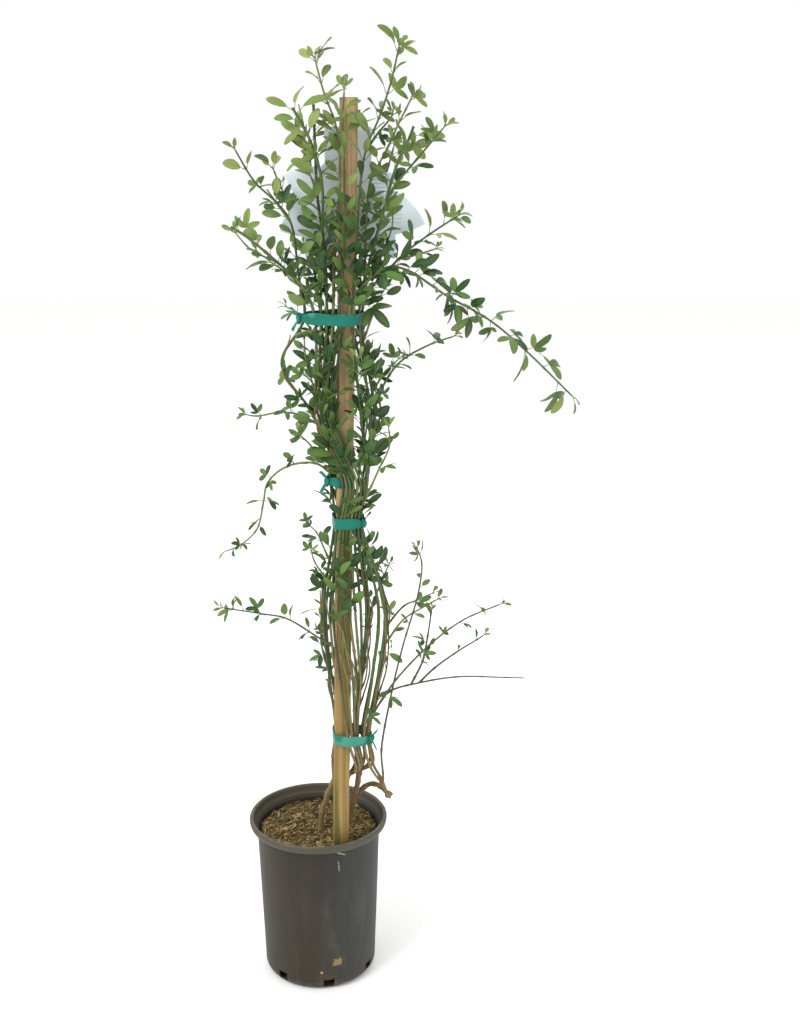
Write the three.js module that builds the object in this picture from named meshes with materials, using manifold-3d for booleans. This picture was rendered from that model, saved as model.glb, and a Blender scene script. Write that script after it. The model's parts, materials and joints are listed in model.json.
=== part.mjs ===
// Potted winter jasmine tied to a wooden stake, in millimetres.
// +Z is up and +Y points away from the viewer. The origin is the middle of the pot's base, on the ground.
// Three rooted plants send up sixteen square-sided canes, which four tape ties hold to the stake.
import * as THREE from "three";
import { mergeVertices } from "three/addons/utils/BufferGeometryUtils.js";
import Module from "manifold-3d";

const wasm = await Module();
wasm.setup();

// Clearance between pieces that touch
const GAP = 0.3;

// Nursery pot
const POT = {
  rimRadius: 82.5,
  height: 200,
  collarHeight: 10,
  shoulderRadius: 73,
  baseRadius: 67,
  cornerRadius: 11,
  wall: 1.8,
  floor: 3.4,
  sides: 34,
  slots: 7,
  slotBearing: 24.6,
  slotFoot: 3,
  slotWidth: 13,
  slotHeight: 13,
};

// Compost filling the pot
const SOIL = { top: 182, relief: 2.2, rings: 6, scraps: 5 };

// Square wooden stake, leaning a little to the right
const STAKE = { side: 17, chamfer: 0.8, turn: 10, y: -45, footX: 24.6, lean: 0.0213, foot: 48, top: 1028 };

// Stretch tape round the stake and the canes
const TAPE = { width: 12.4, thickness: 1, clearance: 0.5, corners: 15 };

// Flower-shaped plastic care tag behind the stake: [bearing, reach] of each pointed petal
const TAG = {
  x: 46.5,
  z: 926,
  thickness: 0.8,
  core: 44,
  widest: 86,
  top: { height: 73, halfWidth: 24 },
  petals: [[22, 60], [158, 72], [-18, 84], [203, 78], [-52, 78], [232, 74]],
  petalSpread: 27,
  tongueWidth: 13,
  tongueFoot: 797,
};

// Stems
const CANE_RADIUS = { foot: 1.6, tie: 1.4, top: 1.25, tip: 0.8 };
const SHOOT_RADIUS = { root: 1.2, tip: 0.7 };
const KNUCKLE_RADIUS = 4.4;
const CANE_STEP = 80;
const SHOOT_STEP = 34;
const SIDES = { wood: 7, cane: 4, shoot: 3 };

// Leaves: a stalk with three leaflets, or with one, in one arched blade
const LEAF = {
  length: 21,
  thickness: 0.7,
  stalkWidth: 1.1,
  arch: 0.24,
  pairSpacing: 30,
  crownSpacing: 23,
  caneSpacing: 47,
  crownFrom: 815,
  simpleShare: 0.66,
  smallestShare: 0.86,
  tries: 7,
};

// Side shoots bear their first leaves a little way out, and more of them in threes.
const SHOOT_LEAVES = { first: 16, simpleShare: 0.45 };

// The leaves that stand out, each at its own height on its stem and pointing its own way
const LARGE_LEAVES = [
  { stem: "right_spray", z: 819, axis: [0.62, -0.55, -0.5], size: 1.3, simple: false },
  { stem: "thick_cut_left", z: 1012, axis: [0.75, -0.3, 0.55], size: 1.25, simple: true },
  { stem: "thick_cut_right", z: 989, axis: [0.95, -0.25, 0.15], size: 1.1, simple: true },
  { stem: "back_left", z: 479, axis: [-0.93, -0.35, 0.05], size: 0.85, simple: true },
  { stem: "back_left", z: 423, axis: [-0.93, -0.3, -0.2], size: 0.75, simple: false },
  { stem: "tallest", z: 352, axis: [0.7, -0.45, 0.55], size: 0.85, simple: false },
  { stem: "low_spray", z: 380, axis: [0.9, -0.3, -0.25], size: 0.8, simple: false },
  { stem: "right_spray", z: 428, axis: [0.85, -0.4, -0.3], size: 0.8, simple: true },
];

const radians = THREE.MathUtils.degToRad;
const clamp = THREE.MathUtils.clamp;
const vec = (x, y, z) => new THREE.Vector3(x, y, z);

// A repeatable draw between 0 and 1 for item number n and purpose salt.
function draw(n, salt) {
  const s = Math.sin(n * 12.9898 + salt * 78.233) * 43758.5453;
  return s - Math.floor(s);
}

// Solids

function solid(geometry) {
  const g = geometry.clone();
  g.deleteAttribute("normal");
  g.deleteAttribute("uv");
  const merged = mergeVertices(g, 1e-4);
  return new wasm.Manifold(
    new wasm.Mesh({
      numProp: 3,
      vertProperties: new Float32Array(merged.attributes.position.array),
      triVerts: new Uint32Array(merged.index.array),
    }),
  );
}

function geometryOf(manifold) {
  const mesh = manifold.getMesh();
  const g = new THREE.BufferGeometry();
  g.setAttribute("position", new THREE.BufferAttribute(mesh.vertProperties, 3));
  g.setIndex(new THREE.BufferAttribute(mesh.triVerts, 1));
  g.computeVertexNormals();
  return g;
}

// Joins the solids two by two, so that each join stays small.
function joinAll(solids) {
  let list = solids;
  while (list.length > 1) {
    const next = [];
    for (let i = 0; i < list.length; i += 2) {
      next.push(i + 1 < list.length ? list[i].add(list[i + 1]) : list[i]);
    }
    list = next;
  }
  return list[0];
}

function mesh(name, geometry, material) {
  const made = new THREE.Mesh(geometry, material);
  made.name = name;
  return made;
}

// Routes: a smooth line through a few points, kept as short straight steps

function smoothRoute(points, step) {
  const curve = new THREE.CatmullRomCurve3(points, false, "centripetal");
  const spans = points.length - 1;
  const samples = [points[0].clone()];
  for (let span = 0; span < spans; span++) {
    const count = Math.max(1, Math.ceil(points[span].distanceTo(points[span + 1]) / step));
    for (let k = 1; k <= count; k++) samples.push(curve.getPoint((span + k / count) / spans));
  }
  const lengths = [0];
  for (let i = 1; i < samples.length; i++) {
    lengths.push(lengths[i - 1] + samples[i].distanceTo(samples[i - 1]));
  }
  return { samples, lengths, length: lengths[lengths.length - 1] };
}

// Place and direction at a distance along a route.
function along(route, distance) {
  const d = clamp(distance, 0, route.length);
  let i = 1;
  while (i < route.lengths.length - 1 && route.lengths[i] < d) i++;
  const a = route.samples[i - 1];
  const b = route.samples[i];
  const t = (d - route.lengths[i - 1]) / (route.lengths[i] - route.lengths[i - 1]);
  return { place: a.clone().lerp(b, t), direction: b.clone().sub(a).normalize() };
}

// Distance along a route at which it first climbs past a height.
function distanceAtHeight(route, z) {
  for (let i = 1; i < route.samples.length; i++) {
    const low = route.samples[i - 1].z;
    const high = route.samples[i].z;
    if (low <= z && high >= z) {
      const share = (z - low) / (high - low || 1);
      return route.lengths[i - 1] + share * (route.lengths[i] - route.lengths[i - 1]);
    }
  }
  return route.length;
}

// A closed cylinder bent along a route, its radius given by radiusAt(distance).
function bentStem(route, radiusAt, sides) {
  const steps = route.samples.length - 1;
  const g = new THREE.CylinderGeometry(1, 1, steps, sides, steps);
  const position = g.attributes.position;
  const forward = route.samples.map((_, i) => {
    const before = route.samples[Math.max(0, i - 1)];
    const after = route.samples[Math.min(steps, i + 1)];
    return after.clone().sub(before).normalize();
  });
  // Carry one side direction along the route without twisting it.
  let side = vec(1, 0, 0.001).cross(forward[0]).normalize();
  const frames = forward.map((f) => {
    side = side.clone().addScaledVector(f, -side.dot(f)).normalize();
    return { side, other: f.clone().cross(side) };
  });
  for (let v = 0; v < position.count; v++) {
    const ring = Math.round(position.getY(v) + steps / 2);
    const r = radiusAt(route.lengths[ring]);
    const p = route.samples[ring].clone();
    p.addScaledVector(frames[ring].side, position.getZ(v) * r);
    p.addScaledVector(frames[ring].other, position.getX(v) * r);
    position.setXYZ(v, p.x, p.y, p.z);
  }
  return solid(g);
}

// Stake

const stakeX = (z) => STAKE.footX + STAKE.lean * z;
const stakeTurn = radians(STAKE.turn);

// A point at [along the stake's face, out of its back] from the stake's middle.
function besideStake(z, across, back) {
  const x = stakeX(z) + across * Math.cos(stakeTurn) - back * Math.sin(stakeTurn);
  return vec(x, STAKE.y + across * Math.sin(stakeTurn) + back * Math.cos(stakeTurn), z);
}

function prismBeside(halfWidth, halfDepth, chamfer, low, high) {
  const shape = new THREE.Shape();
  const corners = [[1, 1], [-1, 1], [-1, -1], [1, -1]];
  const outline = corners.flatMap(([sx, sy], i) => {
    const a = [sx * (halfWidth - chamfer), sy * halfDepth];
    const b = [sx * halfWidth, sy * (halfDepth - chamfer)];
    return i % 2 === 0 ? [b, a] : [a, b];
  });
  shape.setFromPoints(outline.map(([x, y]) => new THREE.Vector2(x, y)));
  const g = new THREE.ExtrudeGeometry(shape, { depth: high - low, bevelEnabled: false });
  g.rotateZ(stakeTurn);
  g.translate(0, STAKE.y, low);
  const position = g.attributes.position;
  for (let v = 0; v < position.count; v++) {
    position.setX(v, position.getX(v) + stakeX(position.getZ(v)));
  }
  return g;
}

const stakeGeometry = prismBeside(STAKE.side / 2, STAKE.side / 2, STAKE.chamfer, STAKE.foot, STAKE.top);

// Lanes of the canes round the stake

// For each height: the first, the middle and the last place of a group, as [right, back] of the stake's
// middle. The canes of a group stand evenly on the arc through the three, so no two of them ever cross.
const LANES = {
  left: {
    count: 3,
    arcs: [
      [290, [-11, 16], [-4, 18.5], [3, 16.5]],
      [324, [-8, 13.6], [-2, 15.6], [4.5, 14]],
      [400, [-16, 7], [-15, 13], [-8.5, 14]],
      [480, [-22, -2], [-20, 4], [-15, 9]],
      [582, [-11, 11], [-6, 14.5], [1.5, 12.8]],
      [627, [-15.5, -1], [-17, 5], [-12.5, 11]],
      [700, [-19, 1], [-18.5, 6], [-13, 10.5]],
      [805, [-27, 4], [-20, 6], [-14, 7]],
    ],
  },
  front: {
    count: 7,
    arcs: [
      [290, [17, -12], [30, -4], [16.5, 9]],
      [324, [8, -15], [25, -9], [14, 7]],
      [400, [-2, -15.5], [24, -17], [21, 3]],
      [480, [-11, -15], [8, -18], [26, -11]],
      [582, [-7, -13.4], [4, -17.2], [15.5, -12]],
      [627, [-1.5, -14.5], [10, -20], [21.5, -11]],
      [700, [-32, -7], [-21, -14], [-9.5, -14]],
      [805, [-39, -5], [-20, -15], [-1, -15]],
    ],
  },
  right: {
    count: 6,
    arcs: [
      [290, [33, -9], [46, 6], [16, 20]],
      [324, [26, -12], [42, 2], [13, 15.5]],
      [400, [34, -10], [56, 2], [23, 13]],
      [480, [40, -9], [62, 0], [27, 10]],
      [582, [18, -8.5], [21.5, 2], [12.5, 12]],
      [627, [24, -6.5], [28, 4], [15, 13]],
      [700, [17, -9], [46, 2], [19, 12]],
      [805, [6.5, -14.5], [31, 14], [-8, 16.5]],
    ],
  },
};

function lanePoint([group, index], [z, first, middle, last]) {
  const t = index / (LANES[group].count - 1);
  const blend = (k) => (1 - t) * (1 - t) * first[k] + 2 * t * (1 - t) * middle[k] + t * t * last[k];
  return vec(stakeX(z) + blend(0), STAKE.y + blend(1), z);
}

// Plants: the woody foot, the canes with the points of their free ends, and the side shoots.
// A shoot starts inside the cane or trunk it names, at the height given by from.
const PLANTS = {
  plant_right: {
    wood: [
      {
        name: "trunk",
        radius: [4.4, 3],
        points: [[38, 12, 128], [38, 10, 200], [46, -3, 233], [51, -18, 270]],
      },
      {
        name: "arch",
        radius: [3, 2.6],
        points: [
          [38, 11, 196], [47, 2, 224], [60, -7, 242], [69, -16, 248], [78, -24, 246],
          [85, -30, 241],
        ],
      },
    ],
    knuckle: [85, -30, 241],
    canes: [
      {
        name: "tallest",
        lane: ["right", 0],
        foot: [[84, -30, 242], [76, -40, 262]],
        top: [
          [50, -60, 835], [54, -61, 890], [58, -60, 942], [64, -57, 977], [78, -54, 1010],
          [90, -52, 1045], [98, -50, 1080],
        ],
        leaves: [560, 1.0],
      },
      {
        name: "thick_cut_right",
        lane: ["right", 1],
        foot: [[83, -29, 242], [77, -33, 262]],
        top: [[62, -54, 845], [80, -58, 912], [94, -61, 959], [107, -64, 987], [112, -66, 1000]],
        leaves: [600, 1.05],
        cut: true,
      },
      {
        name: "right_spray",
        lane: ["right", 2],
        foot: [[50, -16, 264]],
        top: [[68, -47, 835], [86, -46, 855], [107, -42, 875], [136, -34, 895], [162, -30, 911]],
        leaves: [560, 0.9],
      },
      {
        name: "upper_right",
        lane: ["right", 3],
        foot: [[50, -16, 264]],
        top: [
          [61, -45, 845], [63, -48, 900], [68, -48, 945], [84, -46, 975], [98, -40, 1004],
          [112, -33, 1031],
        ],
        leaves: [500, 0.9],
      },
      {
        name: "back_right",
        lane: ["right", 4],
        foot: [[50, -16, 262]],
        top: [[54, -25, 850], [66, -14, 900], [82, -4, 945], [93, 4, 982]],
        leaves: [520, 1.0],
      },
      {
        name: "back_middle",
        lane: ["right", 5],
        foot: [[46, -4, 234], [49, -12, 262]],
        top: [[36, -22, 860], [42, -8, 915], [50, 2, 965], [55, 8, 1008]],
        leaves: [500, 1.0],
      },
    ],
    shoots: [
      { from: ["tallest", 975], points: [[76, -50, 993], [85, -45, 1003], [92, -43, 1012]], size: 0.7 },
      {
        from: ["thick_cut_right", 925],
        points: [[94, -64, 943], [110, -70, 962], [144, -85, 1002]],
        size: 0.95,
      },
      { from: ["right_spray", 866], points: [[116, -49, 871], [138, -51, 878]], size: 0.6 },
      {
        from: ["right_spray", 705],
        points: [[80, -38, 730], [98, -33, 755], [128, -26, 772], [159, -20, 782]],
        size: 0.75,
      },
      {
        from: ["tallest", 604],
        points: [[66, -60, 622], [76, -62, 645], [87, -63, 670], [86, -65, 694]],
        size: 0.7,
      },
      {
        from: ["arch", 241],
        points: [
          [78, -42, 262], [77, -47, 307], [89, -50, 380], [101, -55, 436], [119, -62, 506],
          [122, -66, 540], [116, -70, 560],
        ],
        size: 0.55,
        bare: 0.72,
      },
      {
        from: ["tallest", 345],
        points: [[76, -61, 372], [94, -68, 403], [129, -74, 445], [167, -82, 479], [210, -93, 503]],
        size: 0.6,
        bare: 0.5,
        name: "low_spray",
      },
      {
        from: ["right_spray", 352],
        points: [[85, -37, 374], [120, -26, 381], [166, -15, 384], [217, -5, 379], [246, 0, 376]],
        size: 0.6,
        bare: 1,
        name: "bare",
      },
      {
        from: ["bare", 381],
        points: [[138, -18, 396], [166, -14, 416], [187, -10, 428], [198, -8, 435]],
        size: 0.55,
        bare: 0.5,
      },
      {
        from: ["bare", 380],
        points: [[124, -36, 412], [129, -43, 442], [134, -50, 482]],
        size: 0.6,
        bare: 0.3,
      },
      {
        from: ["right_spray", 436],
        points: [[102, -46, 466], [124, -52, 483], [142, -58, 496]],
        size: 0.7,
      },
      {
        from: ["upper_right", 452],
        points: [[103, -28, 476], [119, -19, 480], [138, -10, 486]],
        size: 0.7,
      },
      { from: ["back_middle", 690], points: [[70, -16, 722], [86, 2, 742], [98, 20, 750]], size: 0.8 },
      { from: ["back_middle", 455], points: [[70, -18, 482], [80, 2, 502], [86, 20, 510]], size: 0.7 },
      { from: ["back_right", 765], points: [[66, -12, 795], [76, 12, 818], [82, 32, 826]], size: 0.8 },
    ],
  },
  plant_centre: {
    wood: [
      {
        name: "trunk",
        radius: [4.4, 3],
        points: [[22, -2, 128], [22, -3, 200], [29, -10, 236], [38, -20, 262]],
      },
    ],
    canes: [
      {
        name: "left_bow",
        lane: ["front", 0],
        foot: [[38, -19, 260]],
        bow: [757, -32, 0, 62],
        top: [[-7, -55, 850], [-14, -61, 906], [-27, -66, 925], [-48, -73, 946], [-68, -80, 981]],
        leaves: [690, 0.85],
      },
      {
        name: "left_cut",
        lane: ["front", 1],
        foot: [[38, -19, 260]],
        top: [[-1, -64, 838], [-25, -74, 864], [-58, -88, 894], [-71, -95, 903]],
        leaves: [470, 1.05],
        cut: true,
      },
      {
        name: "thick_cut_left",
        lane: ["front", 2],
        foot: [[38, -19, 260]],
        top: [[17, -60, 870], [19, -63, 945], [8, -65, 986], [-9, -68, 1018]],
        leaves: [560, 1.1],
        cut: true,
      },
      {
        name: "straight_cut",
        lane: ["front", 3],
        foot: [[38, -19, 260]],
        top: [[21, -56, 870], [14, -55, 930], [12, -52, 980], [11, -49, 1021]],
        leaves: [480, 1.05],
        cut: true,
      },
      {
        name: "across_stake",
        lane: ["front", 4],
        foot: [[38, -19, 260]],
        top: [[31, -63, 880], [38, -62, 955], [34, -61, 1000], [22, -59, 1033], [13, -56, 1067]],
        leaves: [600, 1.0],
      },
      {
        name: "stake_top",
        lane: ["front", 5],
        foot: [[38, -19, 260]],
        top: [[41, -69, 880], [42, -71, 957], [41, -70, 1003], [43, -67, 1037]],
        leaves: [520, 0.95],
      },
      {
        name: "long_arch",
        lane: ["front", 6],
        foot: [[38, -19, 260]],
        top: [
          [46, -66, 823], [60, -70, 841], [84, -69, 860], [104, -69, 858], [146, -74, 832],
          [190, -82, 808], [224, -90, 781], [278, -100, 730],
        ],
        leaves: [640, 1.08],
        simple: 0.12,
      },
    ],
    shoots: [
      { from: ["left_bow", 905], points: [[-25, -62, 921], [-37, -62, 938]], size: 0.9, cut: true },
      { from: ["left_bow", 650], points: [[8, -61, 664], [1, -66, 674], [-9, -71, 685]], size: 0.8 },
      {
        from: ["left_bow", 500],
        points: [[17, -63, 520], [5, -66, 541], [1, -71, 560]],
        size: 0.5,
        bare: 0.5,
      },
      {
        from: ["left_bow", 436],
        points: [[4, -66, 455], [-27, -76, 479], [-50, -87, 488], [-94, -110, 504]],
        size: 0.75,
        bare: 0.25,
      },
    ],
  },
  plant_left: {
    wood: [
      {
        name: "trunk",
        radius: [4, 2.8],
        points: [[4, -8, 128], [4, -8, 200], [12, -14, 232], [21, -22, 258]],
      },
    ],
    canes: [
      {
        name: "back_left",
        lane: ["left", 0],
        foot: [[20, -21, 256]],
        top: [[8, -31, 850], [-8, -20, 898], [-26, -11, 935], [-36, -6, 958]],
        leaves: [500, 1.0],
      },
      {
        name: "back_high",
        lane: ["left", 1],
        foot: [[20, -21, 256]],
        top: [[18, -29, 855], [12, -14, 912], [4, -2, 962], [2, 4, 992]],
        leaves: [560, 1.0],
      },
      {
        name: "back_short",
        lane: ["left", 2],
        foot: [[20, -21, 256]],
        top: [[29, -28, 850], [30, -10, 900], [24, 8, 934]],
        leaves: [520, 1.0],
        cut: true,
      },
    ],
    shoots: [
      {
        from: ["back_left", 684],
        points: [[5, -42, 692], [-8, -37, 698], [-31, -31, 700], [-58, -23, 694], [-72, -19, 695]],
        size: 0.8,
        bare: 0.15,
      },
      {
        from: ["back_left", 636],
        points: [
          [8, -45, 646], [-12, -43, 646], [-32, -41, 638], [-47, -39, 622], [-52, -37, 600],
          [-60, -35, 569], [-80, -32, 549], [-100, -30, 540],
        ],
        size: 0.65,
      },
      { from: ["back_short", 680], points: [[14, -18, 710], [0, 2, 728], [-12, 18, 736]], size: 0.8 },
      { from: ["back_short", 515], points: [[14, -22, 540], [4, -6, 556], [-8, 10, 562]], size: 0.7 },
      { from: ["back_high", 752], points: [[6, -18, 782], [-12, 2, 802], [-28, 18, 808]], size: 0.8 },
    ],
  },
};

// A smooth bump that pulls a bowed cane sideways round one height.
function bowedPoint(point, bow) {
  if (!bow) return point;
  const [z, right, back, reach] = bow;
  const u = clamp((point.z - z) / reach, -1, 1);
  const pull = (1 - u * u) ** 2;
  return point.add(vec(right * pull, back * pull, 0));
}

// Adds a lane point midway on the bow, so that the smooth line follows it.
function caneRoute(cane) {
  const arcs = LANES[cane.lane[0]].arcs;
  const lanePoints = arcs.map((arc) => lanePoint(cane.lane, arc));
  if (cane.bow) {
    const share = (cane.bow[0] - arcs[6][0]) / (arcs[7][0] - arcs[6][0]);
    lanePoints.splice(7, 0, lanePoints[6].clone().lerp(lanePoints[7], share));
  }
  const points = [
    ...cane.foot.map((p) => vec(...p)),
    ...lanePoints.map((p) => bowedPoint(p, cane.bow)),
    ...cane.top.map((p) => vec(...p)),
  ];
  return smoothRoute(points, CANE_STEP);
}

// Every stem of a plant with its route and radius.
function growPlant(plant) {
  const stems = [];
  const find = (name) => stems.find((s) => s.name === name).route;
  for (const w of plant.wood) {
    const route = smoothRoute(w.points.map((p) => vec(...p)), SHOOT_STEP);
    const [low, high] = w.radius;
    const radiusAt = (d) => low + (high - low) * (d / route.length);
    stems.push({ name: w.name, kind: "wood", route, radiusAt });
  }
  for (const cane of plant.canes) {
    const route = caneRoute(cane);
    const tieFoot = distanceAtHeight(route, TIES.tie_low.z);
    const tieTop = distanceAtHeight(route, TIES.tie_top.z);
    const tip = cane.cut ? CANE_RADIUS.top : CANE_RADIUS.tip;
    const at = [0, tieFoot, tieTop, route.length];
    const radii = [CANE_RADIUS.foot, CANE_RADIUS.tie, CANE_RADIUS.top, tip];
    const radiusAt = (d) => {
      const k = d < at[1] ? 0 : d < at[2] ? 1 : 2;
      return radii[k] + (radii[k + 1] - radii[k]) * ((d - at[k]) / (at[k + 1] - at[k]));
    };
    const first = distanceAtHeight(route, cane.leaves[0]);
    const crown = distanceAtHeight(route, LEAF.crownFrom);
    const { name, cut, simple } = cane;
    const [group] = cane.lane;
    const [, size] = cane.leaves;
    stems.push({ name, kind: "cane", group, route, radiusAt, first, crown, size, cut, simple });
  }
  for (const shoot of plant.shoots) {
    const parent = find(shoot.from[0]);
    const root = along(parent, distanceAtHeight(parent, shoot.from[1])).place;
    const route = smoothRoute([root, ...shoot.points.map((p) => vec(...p))], SHOOT_STEP);
    const radiusAt = (d) => SHOOT_RADIUS.root + (SHOOT_RADIUS.tip - SHOOT_RADIUS.root) * (d / route.length);
    const first = Math.max(SHOOT_LEAVES.first, (shoot.bare ?? 0) * route.length);
    const { name = "shoot", size, cut } = shoot;
    stems.push({ name, kind: "shoot", route, radiusAt, first, size, cut, simple: SHOOT_LEAVES.simpleShare });
  }
  return stems;
}

// Ties

// The height of each tie, the bearing round the bundle of its knot, and the groups of canes that it holds.
const EVERY_GROUP = Object.keys(LANES);
const TIES = {
  tie_low: { z: 324, knot: -25, groups: EVERY_GROUP },
  tie_middle: { z: 582, knot: -20, groups: EVERY_GROUP },
  tie_upper: { z: 627, knot: 205, groups: ["left"] },
  tie_top: { z: 805, knot: 190, groups: EVERY_GROUP },
};

const stemsOf = Object.fromEntries(Object.entries(PLANTS).map(([name, plant]) => [name, growPlant(plant)]));
const allStems = Object.entries(stemsOf).flatMap(([owner, stems]) => stems.map((s) => ({ owner, ...s })));
const canes = allStems.filter((s) => s.kind === "cane");

// Convex outline at a margin round the stake, the held canes and the tag's tongue within a tie's width. Each
// side of it touches whatever reaches furthest in that direction.
function bundleOutline({ z, groups }, margin) {
  const discs = [];
  const held = canes.filter((cane) => groups.includes(cane.group));
  for (const level of [z - TAPE.width / 2, z, z + TAPE.width / 2]) {
    for (const cane of held) {
      const d = distanceAtHeight(cane.route, level);
      discs.push({ centre: along(cane.route, d).place, radius: cane.radiusAt(d) });
    }
    const half = STAKE.side / 2;
    const tongue = z > TAG.tongueFoot ? TAG.thickness + GAP : 0;
    for (const [a, b] of [[-1, -1], [1, -1], [1, 1], [-1, 1]]) {
      discs.push({ centre: besideStake(level, a * half, b * half + (b > 0 ? tongue : 0)), radius: 0 });
    }
  }
  const turn = (2 * Math.PI) / TAPE.corners;
  const reach = (k) => {
    const facing = vec(Math.cos(k * turn), Math.sin(k * turn), 0);
    return Math.max(...discs.map(({ centre, radius }) => centre.dot(facing) + radius));
  };
  const outline = [];
  for (let k = 0; k < TAPE.corners; k++) {
    const out = reach(k) + margin;
    const sideways = (reach(k + 1) + margin - out * Math.cos(turn)) / Math.sin(turn);
    const cos = Math.cos(k * turn);
    const sin = Math.sin(k * turn);
    outline.push(vec(out * cos - sideways * sin, out * sin + sideways * cos, 0));
  }
  return outline;
}

function prism(outline, low, high) {
  const shape = new THREE.Shape(outline.map((p) => new THREE.Vector2(p.x, p.y)));
  const g = new THREE.ExtrudeGeometry(shape, { depth: high - low, bevelEnabled: false });
  return g.translate(0, 0, low);
}

// The place on a tie's outline in the direction of a bearing from the bundle's middle.
function onOutline(outline, bearing) {
  const middle = outline.reduce((sum, p) => sum.add(p), vec(0, 0, 0)).divideScalar(outline.length);
  const direction = vec(Math.cos(radians(bearing)), Math.sin(radians(bearing)), 0);
  const far = outline.reduce((best, p) => {
    const reach = p.clone().sub(middle).dot(direction);
    return reach > best.reach ? { reach, p } : best;
  }, { reach: -Infinity, p: null }).p;
  return { place: far.clone(), direction };
}

// A pinched knot with two short tails: [lift, roll] of each tail in degrees
const KNOT = { along: 3.9, out: 3, up: 6, proud: 1.2 };
const TAIL = { length: 15, width: 6.5, thickness: 1, sag: 2.4, lifts: [[62, 24], [-48, -18]] };

function tieSolid(tie) {
  const { z, knot } = tie;
  const low = z - TAPE.width / 2;
  const high = z + TAPE.width / 2;
  const outer = bundleOutline(tie, TAPE.clearance + TAPE.thickness);
  const inner = bundleOutline(tie, TAPE.clearance);
  const band = solid(prism(outer, low, high)).subtract(solid(prism(inner, low - 1, high + 1)));
  const { place, direction } = onOutline(outer, knot);
  const turn = Math.atan2(direction.y, direction.x);
  const lump = new THREE.IcosahedronGeometry(1, 0).scale(KNOT.out, KNOT.along, KNOT.up).rotateZ(turn);
  lump.translate(place.x + direction.x * KNOT.proud, place.y + direction.y * KNOT.proud, z);
  const parts = [band, solid(lump)];
  for (const [lift, roll] of TAIL.lifts) {
    const tail = new THREE.BoxGeometry(TAIL.length, TAIL.width, TAIL.thickness, 2, 1, 1);
    tail.translate(TAIL.length / 2, 0, 0);
    const position = tail.attributes.position;
    for (let v = 0; v < position.count; v++) {
      const t = position.getX(v) / TAIL.length;
      position.setZ(v, position.getZ(v) - TAIL.sag * t * t);
    }
    tail.rotateX(radians(roll)).rotateY(-radians(lift)).rotateZ(turn);
    tail.translate(place.x + direction.x, place.y + direction.y, z);
    parts.push(solid(tail));
  }
  // The knot and the tails stay outside the bundle.
  return joinAll(parts).subtract(solid(prism(inner, low - TAIL.length, high + TAIL.length)));
}

// Care tag

// Reach of the tag's edge at a bearing: the longest of its pointed petals there, or the square top petal.
function tagReach(bearing) {
  let reach = TAG.core;
  for (const [middle, length] of TAG.petals) {
    const off = Math.abs(((bearing - middle + 540) % 360) - 180) / TAG.petalSpread;
    if (off < 1) reach = Math.max(reach, length * (1 - 0.4 * off ** 1.35));
  }
  const up = Math.sin(radians(bearing));
  const aside = Math.abs(Math.cos(radians(bearing)));
  if (up > 0) reach = Math.max(reach, Math.min(TAG.top.height / up, TAG.top.halfWidth / aside));
  return reach;
}

function tagSolid() {
  const count = 48;
  const outline = [];
  for (let i = 0; i < count; i++) {
    const bearing = (i * 360) / count;
    const r = tagReach(bearing);
    outline.push(new THREE.Vector2(r * Math.cos(radians(bearing)), r * Math.sin(radians(bearing))));
  }
  const flower = new THREE.Shape(outline);
  const disc = new THREE.ExtrudeGeometry(flower, { depth: TAG.thickness, bevelEnabled: false });
  const tongue = new THREE.BoxGeometry(TAG.tongueWidth, TAG.z - TAG.tongueFoot, TAG.thickness);
  tongue.translate(stakeX(850) - TAG.x, (TAG.tongueFoot - TAG.z) / 2, TAG.thickness / 2);
  const flat = geometryOf(solid(disc).add(solid(tongue)));
  // Stand the flat shape up against the stake's back face.
  const back = STAKE.side / 2 + GAP;
  const g = flat.rotateX(Math.PI / 2).translate(0, TAG.thickness + back, TAG.z);
  const position = g.attributes.position;
  for (let v = 0; v < position.count; v++) {
    const z = position.getZ(v);
    const across = (position.getX(v) + TAG.x - stakeX(z)) / Math.cos(stakeTurn);
    const p = besideStake(z, across, position.getY(v));
    position.setXYZ(v, p.x, p.y, z);
  }
  return g;
}

// Leaves

// Flat outline of a leaf of unit leaflet length: the stalk, then three leaflets cut to it, or one.
const STALK = 0.42;
const SIDE_LEAFLET = { bearing: 62, length: 0.8, halfWidth: 0.19 };
const END_LEAFLET = { length: 1, halfWidth: 0.22 };
function leafOutline(size, simple) {
  const w = LEAF.stalkWidth / 2 / (LEAF.length * size);
  const end = STALK + (simple ? 0 : 0.08);
  const half = [[w, 0]];
  if (simple) {
    const { halfWidth } = END_LEAFLET;
    half.push([w * 1.2, STALK], [halfWidth, end + 0.36], [0.82 * halfWidth, end + 0.68]);
  } else {
    const { bearing, length, halfWidth } = SIDE_LEAFLET;
    const sin = Math.sin(radians(bearing));
    const cos = Math.cos(radians(bearing));
    const belly = 0.46 * length;
    half.push(
      [w * 1.3, STALK - 0.03],
      [sin * belly + cos * halfWidth, STALK + cos * belly - sin * halfWidth],
      [sin * length, STALK + cos * length],
      [sin * belly - cos * halfWidth, STALK + cos * belly + sin * halfWidth],
      [w * 1.2, STALK + 0.1],
      [END_LEAFLET.halfWidth, end + 0.46],
    );
  }
  return [...half, [0, end + END_LEAFLET.length], ...half.map(([x, y]) => [-x, y]).reverse()];
}

// Height of a leaf's dome over its flat outline, for places in unit leaflet lengths.
const domeAt = (x, y) => -LEAF.arch * (x * x + Math.max(0, y - STALK) ** 2) + 0.3 * Math.min(y, STALK) ** 2;

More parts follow.
